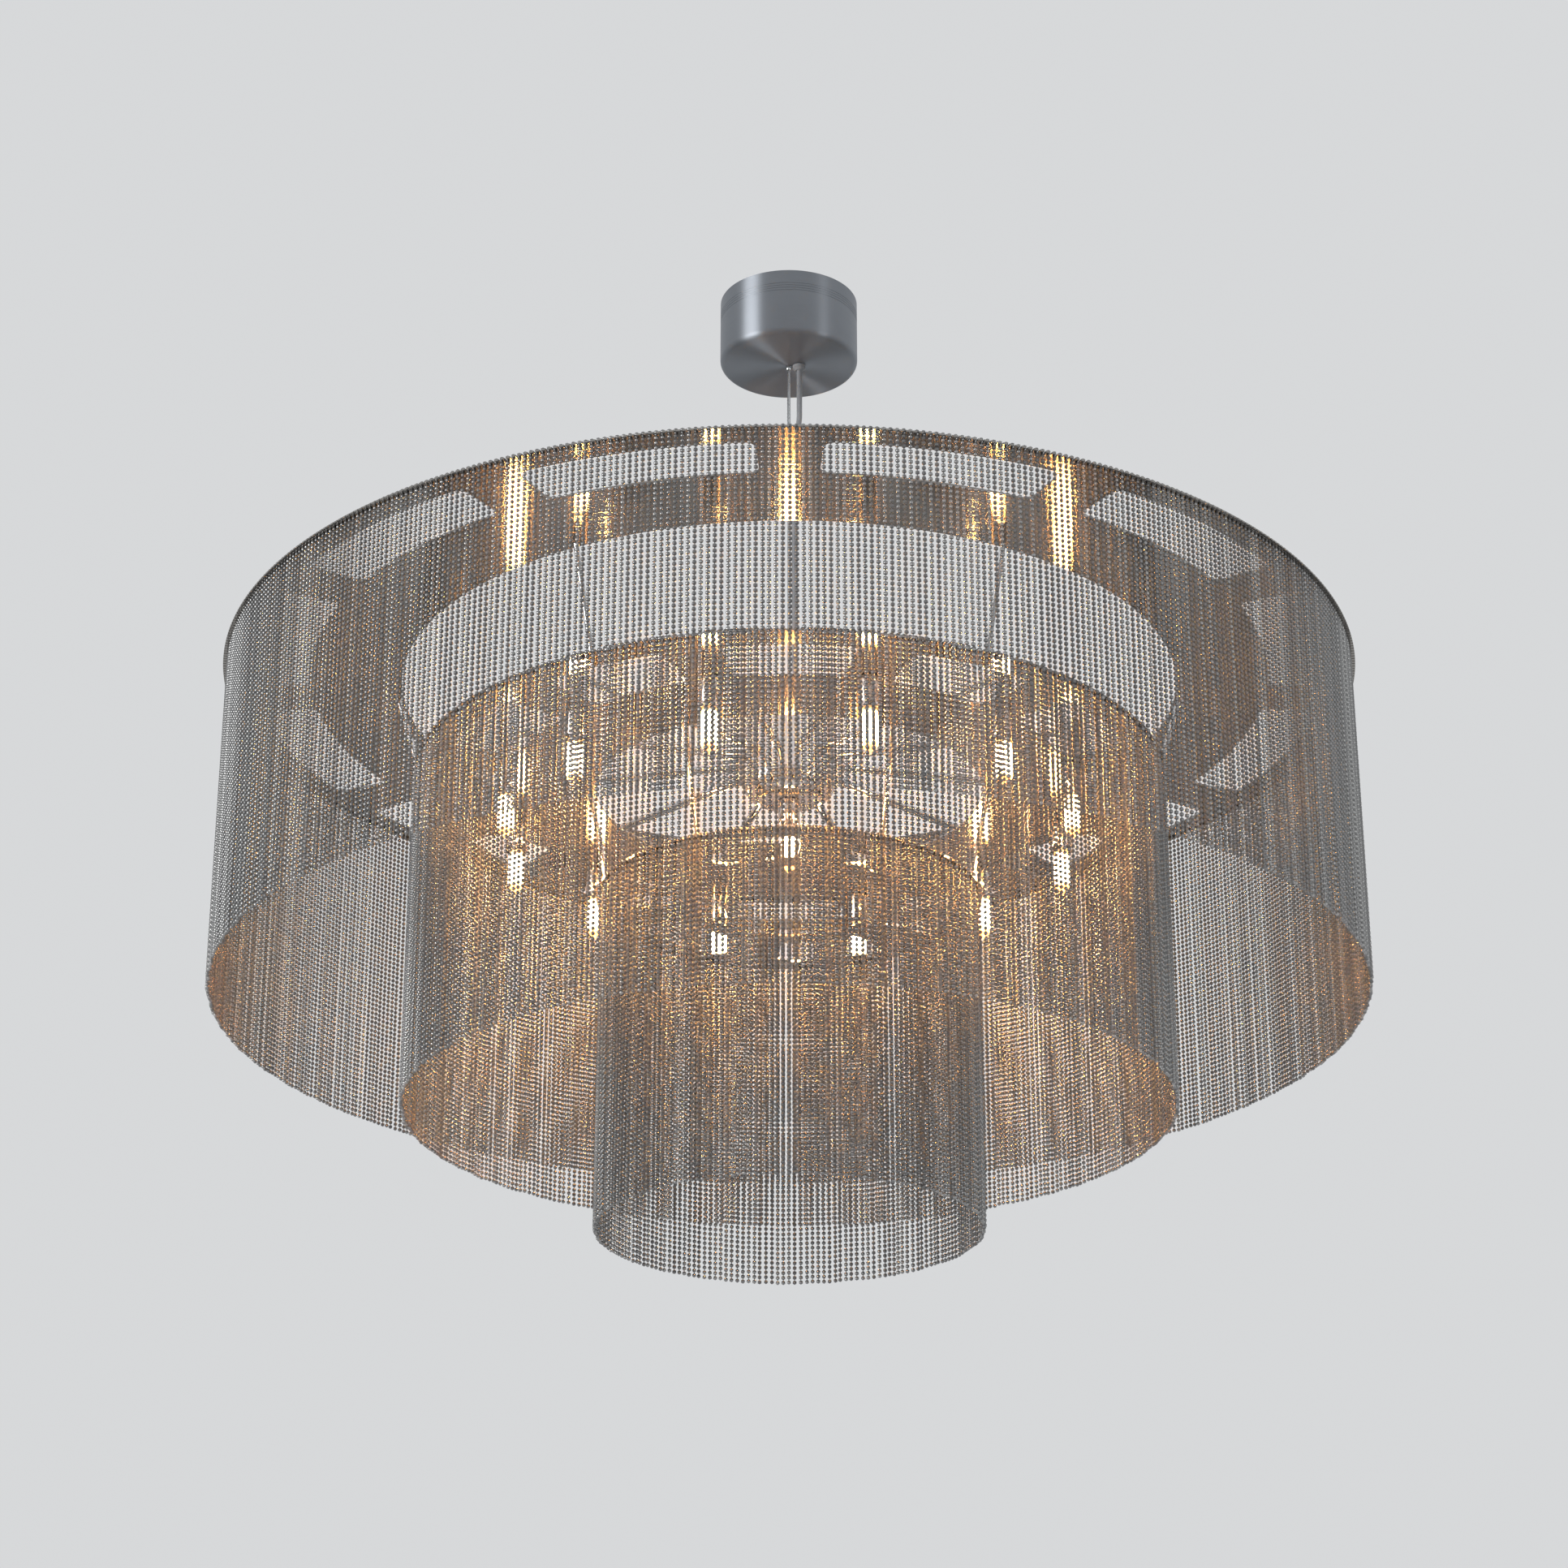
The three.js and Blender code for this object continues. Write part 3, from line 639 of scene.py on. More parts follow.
def build_flex():
    low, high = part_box("power_flex")
    canopy_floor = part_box("canopy_cover")[0].z
    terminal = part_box("terminal_block")[0].z
    offset = high.x - FLEX_RADIUS
    bend_top = canopy_floor - FLEX_STRAIGHT
    bend_foot = low.z + FLEX_TAIL

    def sideways(height):
        """How far the flex is from the rope's axis at a height."""
        above = min(max((bend_top - height) / FLEX_BEND, 0.0), 1.0)
        below = min(max((height - bend_foot) / FLEX_BEND, 0.0), 1.0)
        near = min(above * above * (3 - 2 * above), below * below * (3 - 2 * below))
        return offset + (FLEX_NEAR - offset) * near

    points = []
    for i in range(FLEX_STEPS + 1):
        height = terminal + (low.z - terminal) * i / FLEX_STEPS
        points.append(Vector((sideways(height), 0.0, height)))
    mesh = tube("flex_cable", points, FLEX_RADIUS, FLEX_SIDES)
    clear = finish("clear grey sheath", {
        "Transmission Weight": 0.35,
        "IOR": 1.5,
    }, sheath)
    cable = new_object("flex_cable", mesh)
    mesh.materials.append(clear)
    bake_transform(cable)
    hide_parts("power_flex")


build_flex()


# Hub: a spun cup, chromed, under a turned lid. The rope's ferrule bears under the lid, and the flex
# goes in through the lid's boss.
HUB_WALL = 0.0025
HUB_CORNER = 0.018
CENTRE_SLEEVE = 0.028
LID_THICKNESS = 0.004
LID_CHAMFER = 0.0008
SPIGOT_RADIUS = 0.007
SOCKET_RADIUS = 0.0095
BOSS_RADIUS = 0.005
BOSS_HEIGHT = 0.004
BOSS_CHAMFER = 0.0006


def build_hub():
    chrome = finish("hub chrome", {
        "Base Color": (0.70, 0.71, 0.72, 1.0), "Metallic": 1.0,
    }, polish(0.03, 0.14, drawn=(0.2, 0.2, 1.0), scale=700.0))
    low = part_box("hub_spider")[0]
    lid_low, lid_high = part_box("hub_lid")
    radius = lid_high.x
    lid_top = lid_high.z - BOSS_HEIGHT
    lid_under = lid_top - LID_THICKNESS
    cup_top = lid_under - FIT
    corner = radius - HUB_CORNER
    inner = HUB_CORNER - HUB_WALL
    angles = range(0, 91, 10)
    outside = arc(corner, low.z + HUB_CORNER, HUB_CORNER, angles)
    inside = arc(corner, low.z + HUB_CORNER, inner, reversed(angles))
    hole = SPIGOT_RADIUS + FIT
    top = low.z + CENTRE_SLEEVE
    cup = crisp(turned("hub_cup", [
        (hole, low.z), *outside, (radius, cup_top), (radius - HUB_WALL, cup_top), *inside,
        (SOCKET_RADIUS, low.z + HUB_WALL), (SOCKET_RADIUS, top), (hole, top)],
        sides=72, ring=True))
    add_piece("hub_cup", cup, chrome, "fixture", "polished", "hub_spider")

    rope_hole = ROPE_RADIUS + FIT
    rim = radius - HUB_WALL - FIT
    lid = turned("hub_cover", [
        (rope_hole, lid_under), (rim - HUB_WALL, lid_under), (rim - HUB_WALL, lid_low.z),
        (rim, lid_low.z), (rim, lid_under), (radius, lid_under),
        (radius, lid_top - LID_CHAMFER), (radius - LID_CHAMFER, lid_top), (rope_hole, lid_top),
    ], sides=72, ring=True)
    boss_place = (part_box("power_flex")[1].x - FLEX_RADIUS, 0.0, 0.0)
    boss_foot = lid_under + LID_THICKNESS / 2
    boss = turned("boss", [
        (0.0, boss_foot), (BOSS_RADIUS, boss_foot), (BOSS_RADIUS, lid_high.z - BOSS_CHAMFER),
        (BOSS_RADIUS - BOSS_CHAMFER, lid_high.z), (0.0, lid_high.z)],
        sides=28, place=boss_place)
    mesh = crisp(joined([lid, boss], "hub_cover"))
    add_piece("hub_cover", mesh, chrome, "fixture", "polished", "hub_lid")
    return chrome


hub_chrome = build_hub()


# Arms: twelve chromed tubes from the cup to the sleeves over the middle plate. Each sleeve is a
# closed cap that holds the spigot of the socket below the plate.
LAMP_COUNT = 12
ARM_RADIUS = 0.004
ARM_RISE = 0.031
FLANGE_RADIUS = 0.0062
FLANGE_EDGE = 0.0016
FLANGE_HEIGHT = 0.0028
FLANGE_LIP = 0.0004
SLEEVE_RISE = 0.008
SLEEVE_LID = 0.002
SLEEVE_CHAMFER = 0.0015


def direction(degrees):
    """The level unit vector at an angle from the front."""
    return Vector((math.sin(math.radians(degrees)), -math.cos(math.radians(degrees)), 0.0))


def aimed(mesh, foot, head):
    """Moves a mesh that stands on the origin so that it stands on foot and leads to head."""
    turn = (head - foot).to_track_quat("Z", "Y").to_matrix().to_4x4()
    mesh.transform(Matrix.Translation(foot) @ turn)
    return mesh


def stand(node):
    """Where an upright node stands, and its height."""
    low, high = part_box(node)
    return ((low.x + high.x) / 2, (low.y + high.y) / 2, low.z), high.z - low.z


def build_arms():
    circle = math.hypot(*stand("lamp_socket_01")[0][:2])
    hub_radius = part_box("hub_lid")[1].x
    plate_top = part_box("middle_plate")[1].z
    axis = plate_top + ARM_RISE
    meshes = []
    for i in range(LAMP_COUNT):
        out = direction(360 * (i + 0.5) / LAMP_COUNT)
        start = out * (hub_radius - HUB_WALL / 2) + Vector((0.0, 0.0, axis))
        end = out * (circle - SPIGOT_RADIUS - 2 * FIT) + Vector((0.0, 0.0, axis))
        length = (end - start).length
        arm = turned("arm", [
            (0.0, 0.0), (ARM_RADIUS, 0.0), (ARM_RADIUS, length), (0.0, length)], sides=20)
        meshes.append(aimed(arm, start, end))
        flange = turned("flange", [
            (0.0, 0.0), (FLANGE_RADIUS, 0.0), (FLANGE_RADIUS, FLANGE_EDGE),
            (ARM_RADIUS + FLANGE_LIP, FLANGE_HEIGHT), (0.0, FLANGE_HEIGHT)], sides=28)
        meshes.append(aimed(flange, start + out * HUB_WALL / 2, end))
        hole = SPIGOT_RADIUS + FIT
        top = axis + SLEEVE_RISE
        meshes.append(turned("sleeve", [
            (0.0, top - SLEEVE_LID), (hole, top - SLEEVE_LID), (hole, plate_top + FIT),
            (SOCKET_RADIUS, plate_top + FIT), (SOCKET_RADIUS, top - SLEEVE_CHAMFER),
            (SOCKET_RADIUS - SLEEVE_CHAMFER, top), (0.0, top),
        ], sides=32, place=(*(out * circle).xy, 0.0)))
    mesh = crisp(joined(meshes, "hub_arms"))
    add_piece("hub_arms", mesh, hub_chrome, "fixture", "polished")


build_arms()


# Sockets: slim turned tubes under the middle plate and the hub, chromed. A ceramic insert is
# pressed into each one's bore, with a slot for each of the lamp's two flat pins.
LAMP_NUMBERS = range(1, LAMP_COUNT + 2)
MOUTH_RADIUS = 0.0079
MOUTH_DEPTH = 0.010
MOUTH_BEVEL = 0.0002
SOCKET_LENGTH = 0.029
SOCKET_LIP = 0.0003
SOCKET_SHOULDER = 0.0006
SOCKET_GROOVE_DEPTH = 0.0004
SOCKET_GROOVE = (0.0035, 0.0040, 0.0048, 0.0053)
INSERT_LENGTH = 0.006
INSERT_CLEARANCE = 0.0002
PIN_PITCH = 0.009
PIN_WIDTH = 0.0025
PIN_THICKNESS = 0.001


def fired_ceramic(tree, place):
    speck = grain(tree, place, scale=700.0)
    return {
        "Base Color": tint(tree, speck, (0.74, 0.72, 0.68, 1.0), (0.82, 0.81, 0.78, 1.0)),
        "Roughness": 0.45 + 0.2 * speck,
        "Normal": relief(tree, speck, depth=0.00002),
    }


def slotted_insert():
    tree, inputs = group("slotted insert", {
        "Radius": MOUTH_RADIUS, "Length": INSERT_LENGTH, "Foot": 0.0, "Slots": 2,
        "Slot Pitch": PIN_PITCH, "Slot Width": PIN_WIDTH, "Slot Thickness": PIN_THICKNESS,
        "Ceramic": None})
    plug = tree.shape("MeshCylinder", {
        "Vertices": 28, "Radius": inputs["Radius"], "Depth": inputs["Length"]})
    size = tree.vector(inputs["Slot Width"], inputs["Slot Thickness"], inputs["Length"] * 2.0)
    cutter = tree.shape("MeshCube", {"Size": size})
    number = tree.shape("InputIndex")
    aside = (number - (inputs["Slots"] - 1.0) / 2.0) * inputs["Slot Pitch"]
    slots = spread(tree, cutter, inputs["Slots"], tree.vector(x=aside))
    cuts = tree.shape("RealizeInstances", {"Geometry": slots})
    cut = tree.shape("MeshBoolean", {"Mesh 1": plug, "Mesh 2": cuts},
                   operation="DIFFERENCE", solver="EXACT")
    lift = tree.vector(z=inputs["Foot"] + inputs["Length"] / 2.0)
    placed = tree.shape("Transform", {"Geometry": cut, "Translation": lift})
    close_group(tree, placed, inputs["Ceramic"])
    return tree


def build_sockets():
    socket_chrome = finish("socket chrome", {
        "Base Color": (0.68, 0.69, 0.70, 1.0), "Metallic": 1.0,
    }, polish(0.05, 0.18, drawn=(0.1, 0.1, 1.0), scale=1100.0))
    ceramic = finish("fired ceramic", {}, fired_ceramic)
    plug = grown("socket_insert", slotted_insert(), {
        "Radius": MOUTH_RADIUS - INSERT_CLEARANCE, "Length": INSERT_LENGTH,
        "Foot": MOUTH_DEPTH - INSERT_CLEARANCE, "Slot Width": PIN_WIDTH + 2 * FIT,
        "Slot Thickness": PIN_THICKNESS + 2 * FIT, "Ceramic": ceramic})
    well = MOUTH_DEPTH + INSERT_LENGTH
    mouth = [(0.0, well), (MOUTH_RADIUS, well), (MOUTH_RADIUS, MOUTH_BEVEL),
             (MOUTH_RADIUS + SOCKET_LIP, 0.0), (SOCKET_RADIUS - SOCKET_LIP, 0.0),
             (SOCKET_RADIUS, SOCKET_LIP)]
    groove = [(SOCKET_RADIUS - cut * SOCKET_GROOVE_DEPTH, height)
              for cut, height in zip((0, 1, 1, 0), SOCKET_GROOVE)]
    shoulder = [(SOCKET_RADIUS, SOCKET_LENGTH - SOCKET_SHOULDER),
                (SOCKET_RADIUS - SOCKET_SHOULDER, SOCKET_LENGTH), (SPIGOT_RADIUS, SOCKET_LENGTH)]
    for number in LAMP_NUMBERS:
        node = f"lamp_socket_{number:02d}"
        place, top = stand(node)
        name = f"socket_tube_{number:02d}"
        shell = turned(name, [
            *mouth, *groove, *shoulder, (SPIGOT_RADIUS, top), (0.0, top)], sides=36, place=place)
        add_piece(name, crisp(shell), socket_chrome, "fixture", "polished", node)
        insert = plug.copy()
        insert.name = f"socket_insert_{number:02d}"
        insert.transform(Matrix.Translation(place))
        add_piece(insert.name, crisp(insert), ceramic, "fixture", "terminal")


build_sockets()


# Lamps: halogen capsules on two flat pins, with a pressed base, a frosted glass that glows warm and
# a drawn tip.
BASE_RADIUS = 0.0064
BASE_CHAMFER = 0.0008
GLASS_RADIUS = 0.0069
GLASS_LENGTH = 0.038
TIP_RADIUS = 0.0018
TIP_LENGTH = 0.003
TIP_SHOULDER = 0.0015
TIP_END = 0.0004
TIP_END_SHARE = 0.6
PIN_LENGTH = 0.005
PIN_ROOT = 0.002
GLOW = (1.0, 0.42, 0.11, 1.0)
EMBER = (0.012, 0.0035, 0.0006, 1.0)
GLOW_STRENGTH = 560.0
FILAMENT_HEIGHT = 0.023
FILAMENT_REACH = 0.017


def pressed_glass(tree, place):
    ripple = grain(tree, place, scale=500.0)
    return {
        "Roughness": 0.25 + 0.2 * ripple,
        "Normal": relief(tree, ripple, depth=0.00003),
    }


def lit_glass(middle):
    """The glass glows most round its filament, at that height, and dims to amber at its ends."""
    def varied(tree, place):
        height = tree.add("ShaderNodeSeparateXYZ", {"Vector": place})["Z"]
        away = (height - middle) / FILAMENT_REACH
        near = 1.0 - tree.maths("MINIMUM", away * away, 1.0)
        return {
            "Emission Color": tint(tree, near * near, EMBER, GLOW),
            "Roughness": 0.2 + 0.2 * grain(tree, place, scale=400.0),
        }
    return varied


def build_lamps():
    glow = {"Base Color": (1.0, 0.93, 0.80, 1.0), "Emission Strength": GLOW_STRENGTH}
    ring_glass = finish("glowing capsule glass", glow, lit_glass(
        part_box("capsule_lamp_01")[0].z + FILAMENT_HEIGHT))
    centre_glass = finish("glowing centre glass", glow, lit_glass(
        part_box("capsule_lamp_13")[0].z + FILAMENT_HEIGHT))
    base_glass = finish("pressed base glass", {
        "Base Color": (0.86, 0.84, 0.80, 1.0),
    }, pressed_glass)
    capsule = [
        (0.0, 0.0), (TIP_RADIUS * TIP_END_SHARE, TIP_END), (TIP_RADIUS, TIP_SHOULDER),
        (TIP_RADIUS, TIP_LENGTH),
        *arc(0.0, TIP_LENGTH + GLASS_RADIUS, GLASS_RADIUS, range(20, 91, 14)),
        (GLASS_RADIUS, GLASS_LENGTH), (0.0, GLASS_LENGTH)]
    for number in LAMP_NUMBERS:
        node = f"capsule_lamp_{number:02d}"
        body = f"lamp_{number:02d}"
        place, length = stand(node)
        name = f"lamp_glass_{number:02d}"
        glass = ring_glass if number <= LAMP_COUNT else centre_glass
        bulb = turned(name, capsule, sides=28, place=place)
        add_piece(name, crisp(bulb, degrees=50), glass, body, "lamp", node)
        base_top = length - PIN_LENGTH
        base = turned("base", [
            (0.0, GLASS_LENGTH), (BASE_RADIUS, GLASS_LENGTH),
            (BASE_RADIUS, base_top - BASE_CHAMFER), (BASE_RADIUS - BASE_CHAMFER, base_top),
            (0.0, base_top)], sides=24, place=place)
        pins = bmesh.new()
        for side in (-1, 1):
            x = place[0] + side * PIN_PITCH / 2
            block(pins, (x - PIN_WIDTH / 2, place[1] - PIN_THICKNESS / 2,
                         place[2] + base_top - PIN_ROOT),
                  (x + PIN_WIDTH / 2, place[1] + PIN_THICKNESS / 2, place[2] + length))
        name = f"lamp_base_{number:02d}"
        mesh = crisp(joined([base, finish_mesh(pins, "pins", smooth=False)], name))
        add_piece(name, mesh, base_glass, body, "lamp")


build_lamps()


# Ring plates: flat rings cut from steel sheet, with round-cornered windows and, round the rim, one
# slot for each chain. The outer one is brushed in straight lines, and the lower two are polished.
TOOTH_REACH = 0.0048
SLOT_WIDTH = 0.0017
SLOT_ROOT = 0.0008
WINDOW_CORNER = 0.009
SHEET_THICKNESS = 0.0015
CHAIN_LENGTH = 0.302
# A plate's first window and half a window's width are in degrees
PLATES = {
    "outer": {"chains": 600, "radius": 0.500, "rim": 0.020, "depth": 0.052, "band": 0.081,
              "windows": 12, "first": 15.0, "half": 11.8},
    "middle": {"chains": 400, "radius": 0.332, "rim": 0.021, "depth": 0.061, "band": 0.078,
               "windows": 12, "first": 0.0, "half": 10.5},
    "inner": {"chains": 200, "radius": 0.165, "rim": 0.015, "depth": 0.049, "band": 0.017,
              "windows": 6, "first": 44.0, "half": 20.0},
}


def brushed(low_roughness, high_roughness, depth, warm, cool):
    """Straight brush lines along X, with smears and a slight change of colour."""
    def varied(tree, place):
        lines = grain(tree, place, scale=2400.0, drawn=(0.002, 1.0, 1.0), detail=2.0)
        smear = grain(tree, place, scale=7.0, drawn=(0.4, 1.0, 1.0))
        return {
            "Base Color": tint(tree, smear, warm, cool),
            "Roughness": low_roughness + (high_roughness - low_roughness) * (lines + smear) / 2.0,
            "Normal": relief(tree, lines, depth),
        }
    return varied


def polar(tree, radius, angle, height=0.0):
    """A point at a radius, at an angle from the front, in radians, and at a height."""
    sine = tree.maths("SINE", angle)
    cosine = tree.maths("COSINE", angle)
    return tree.vector(radius * sine, 0.0 - radius * cosine, height)


def slotted_plate():
    tree, inputs = group("slotted plate", {
        "Chains": 600, "Chain Circle": 0.5, "Tooth Reach": 0.005, "Slot Root": 0.001,
        "Slot Width": 0.0017, "Hole Radius": 0.35, "Thickness": 0.0015, "Top": 0.0, "Windows": 12,
        "First Window": 0.0, "Window Angle": 0.4, "Window Outside": 0.48, "Window Depth": 0.05,
        "Window Corner": 0.009, "Steel": None})
    number = tree.shape("InputIndex")
    # Four corners a slot: two at its root, and two at its mouth on the teeth's ends
    corner = number % 4.0
    slot = tree.maths("FLOOR", number / 4.0)
    step = math.tau / inputs["Chains"]
    root = inputs["Chain Circle"] - inputs["Slot Root"]
    mouth = inputs["Chain Circle"] + inputs["Tooth Reach"]
    at_mouth = 1.0 - (corner < 1.5)
    radius = root + (mouth - root) * at_mouth
    past = tree.maths("COMPARE", corner, 1.0) + tree.maths("COMPARE", corner, 2.0)
    swing = (past * 2.0 - 1.0) * inputs["Slot Width"] / 2.0 / radius
    last = 1.0 - (corner < 2.5)
    angle = (slot + last) * step + swing
    circle = tree.shape("CurvePrimitiveCircle", {"Resolution": inputs["Chains"] * 4.0})
    rim = tree.shape("SetPosition", {"Geometry": circle, "Position": polar(tree, radius, angle)})
    hole = tree.shape("CurvePrimitiveCircle", {"Resolution": 180, "Radius": inputs["Hole Radius"]})
    # One window as a round-cornered rectangle, bent round the axis: its X becomes the angle
    middle = inputs["Window Outside"] - inputs["Window Depth"] / 2.0
    sheet = tree.shape("CurvePrimitiveQuadrilateral", {
        "Width": inputs["Window Angle"] * middle, "Height": inputs["Window Depth"]})
    rounded = tree.shape("FilletCurve", {
        "Curve": sheet, "Radius": inputs["Window Corner"], "Count": 6}, mode="POLY")
    fine = tree.shape("ResampleCurve", {"Curve": rounded, "Count": 120})
    spot = tree.add("ShaderNodeSeparateXYZ", {"Vector": tree.shape("InputPosition")})
    bent = tree.shape("SetPosition", {
        "Geometry": fine, "Position": polar(tree, middle + spot["Y"], spot["X"] / middle)})
    turn = tree.vector(z=inputs["First Window"] + number * math.tau / inputs["Windows"])
    windows = spread(tree, bent, inputs["Windows"], Rotation=turn)
    cuts = tree.shape("RealizeInstances", {"Geometry": windows})
    outline = tree.shape("JoinGeometry", {"Geometry": [rim, hole, cuts]})
    face = tree.shape("FillCurve", {"Curve": outline})
    # The Offset takes its direction from a link alone, and goes along the normal without one
    down = tree.vector(z=-1.0)
    walls = tree.shape("ExtrudeMesh", {
        "Mesh": face, "Offset": down, "Offset Scale": inputs["Thickness"], "Individual": False})
    whole = tree.shape("JoinGeometry", {"Geometry": [walls, face]})
    welded = tree.shape("MergeByDistance", {"Geometry": whole, "Distance": 0.00001})
    lift = tree.vector(z=inputs["Top"])
    placed = tree.shape("Transform", {"Geometry": welded, "Translation": lift})
    close_group(tree, placed, inputs["Steel"])
    return tree


def tier_top(tier):
    """The height of a plate's top face, which its chains hang from."""
    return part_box(f"{tier}_curtain_1")[0].z + CHAIN_LENGTH


def build_plates():
    satin = finish("brushed sheet steel", {"Metallic": 1.0}, brushed(
        0.05, 0.11, 0.00006, (0.30, 0.285, 0.265, 1.0), (0.38, 0.365, 0.35, 1.0)))
    mirror = finish("polished sheet steel", {"Metallic": 1.0}, brushed(
        0.05, 0.14, 0.00002, (0.46, 0.45, 0.43, 1.0), (0.56, 0.55, 0.54, 1.0)))
    tree = slotted_plate()
    for tier, plate in PLATES.items():
        steel = satin if tier == "outer" else mirror
        outside = plate["radius"] - plate["rim"]
        mesh = grown(f"{tier}_ring", tree, {
            "Chains": plate["chains"], "Chain Circle": plate["radius"],
            "Tooth Reach": TOOTH_REACH, "Slot Root": SLOT_ROOT, "Slot Width": SLOT_WIDTH,
            "Hole Radius": outside - plate["depth"] - plate["band"],
            "Thickness": SHEET_THICKNESS, "Top": tier_top(tier), "Windows": plate["windows"],
            "First Window": math.radians(plate["first"]),
            "Window Angle": 2 * math.radians(plate["half"]),
            "Window Outside": outside, "Window Depth": plate["depth"],
            "Window Corner": WINDOW_CORNER, "Steel": steel})
        shape = bmesh.new()
        shape.from_mesh(mesh)
        bpy.data.meshes.remove(mesh)
        mesh = finish_mesh(shape, f"{tier}_ring", smooth=False)
        add_piece(f"{tier}_ring", mesh, steel, "fixture", "plate", f"{tier}_plate")


build_plates()


# Posts and studs: turned steel rods that lean from one tier to the next, six of each. A post has a
# nut at each end, and a stud, which stands on the inner plate, has one at its head.
POST_COUNT = 6
POST_RADIUS = 0.0024
NUT_RADIUS = 0.0040
NUT_HEIGHT = 0.0040
NUT_FACE_SHARE = 0.88
ROD_CHAMFER = 0.0005
STUD_FOOT = 0.1568
STUD_HEAD = 0.1769
STUD_SEAT = 0.0008
STUD_END = 0.0056
NUT_INSET = 0.0004


def rod_with_nuts(name, foot, head, nuts):
    """A round rod from foot to head, with a hexagon nut at each distance from the foot."""
    length = (head - foot).length
    rod = turned(name, [
        (0.0, 0.0), (POST_RADIUS - ROD_CHAMFER, 0.0), (POST_RADIUS, ROD_CHAMFER),
        (POST_RADIUS, length - ROD_CHAMFER), (POST_RADIUS - ROD_CHAMFER, length),
        (0.0, length)], sides=20)
    parts = [aimed(rod, foot, head)]
    along = (head - foot).normalized()
    for distance in nuts:
        nut = turned("nut", [
            (0.0, 0.0), (NUT_RADIUS * NUT_FACE_SHARE, 0.0), (NUT_RADIUS, ROD_CHAMFER),
            (NUT_RADIUS, NUT_HEIGHT - ROD_CHAMFER), (NUT_RADIUS * NUT_FACE_SHARE, NUT_HEIGHT),
            (0.0, NUT_HEIGHT)], sides=6)
        nut.shade_flat()
        parts.append(aimed(nut, foot + along * distance, head))
    return crisp(joined(parts, name))


def long_axis(node):
    """The two ends of a rod-like CAD node, the lower one first."""
    points = np.unique(np.round([v.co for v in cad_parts[node].data.vertices], 6), axis=0)
    centre = points.mean(0)
    way = np.linalg.svd(points - centre)[2][0]
    if way[2] < 0:
        way = -way
    reach = (points - centre) @ way
    return Vector(centre + way * reach.min()), Vector(centre + way * reach.max())


def build_posts():
    for i in range(1, POST_COUNT + 1):
        node = f"tier_post_{i}"
        foot, head = long_axis(node)
        length = (head - foot).length
        mesh = rod_with_nuts(f"tier_rod_{i}", foot, head, [0.0, length - NUT_HEIGHT])
        add_piece(f"tier_rod_{i}", mesh, bright_steel, "fixture", "polished", node)
    for i in range(POST_COUNT):
        out = direction(360 * (i + 0.5) / POST_COUNT)
        foot = out * STUD_FOOT + Vector((0.0, 0.0, tier_top("inner") - STUD_SEAT))
        plate = out * STUD_HEAD + Vector((0.0, 0.0, tier_top("middle")))
        head = plate + (plate - foot).normalized() * STUD_END
        name = f"inner_stud_{i + 1}"
        nut = (head - foot).length - NUT_HEIGHT - NUT_INSET
        add_piece(name, rod_with_nuts(name, foot, head, [nut]), bright_steel, "fixture", "polished")


build_posts()


# Chain curtains: nickel-plated ball chain. The top ball of each chain lies on the plate, its link
# goes down through the slot, and the rest hangs. Real chains are never quite alike, so each one is
# a little longer or shorter and hangs a little aside. A CAD strand stands for five chains, so a
# curtain starts two chains before its first strand.
BALL_RADIUS = 0.0019
BALL_SWELL_SHARE = 1.06
BALLS = 69
LINK_RADIUS = 0.00045
FIRST_STEP = 0.0049
CHAINS_BEFORE = 2
CURTAINS = {"outer": 6, "middle": 5, "inner": 5}
# Each chain gets one of these nickels at random. All three are darker than nickel's own colour:
# painted shade, for the dark surroundings that the chain mirrors.
SHADE_DARKENED_NICKELS = (
    ("dull nickel", (0.21, 0.21, 0.21, 1.0), 0.28),
    ("plain nickel", (0.28, 0.28, 0.28, 1.0), 0.23),
    ("bright nickel", (0.37, 0.37, 0.365, 1.0), 0.19),
)


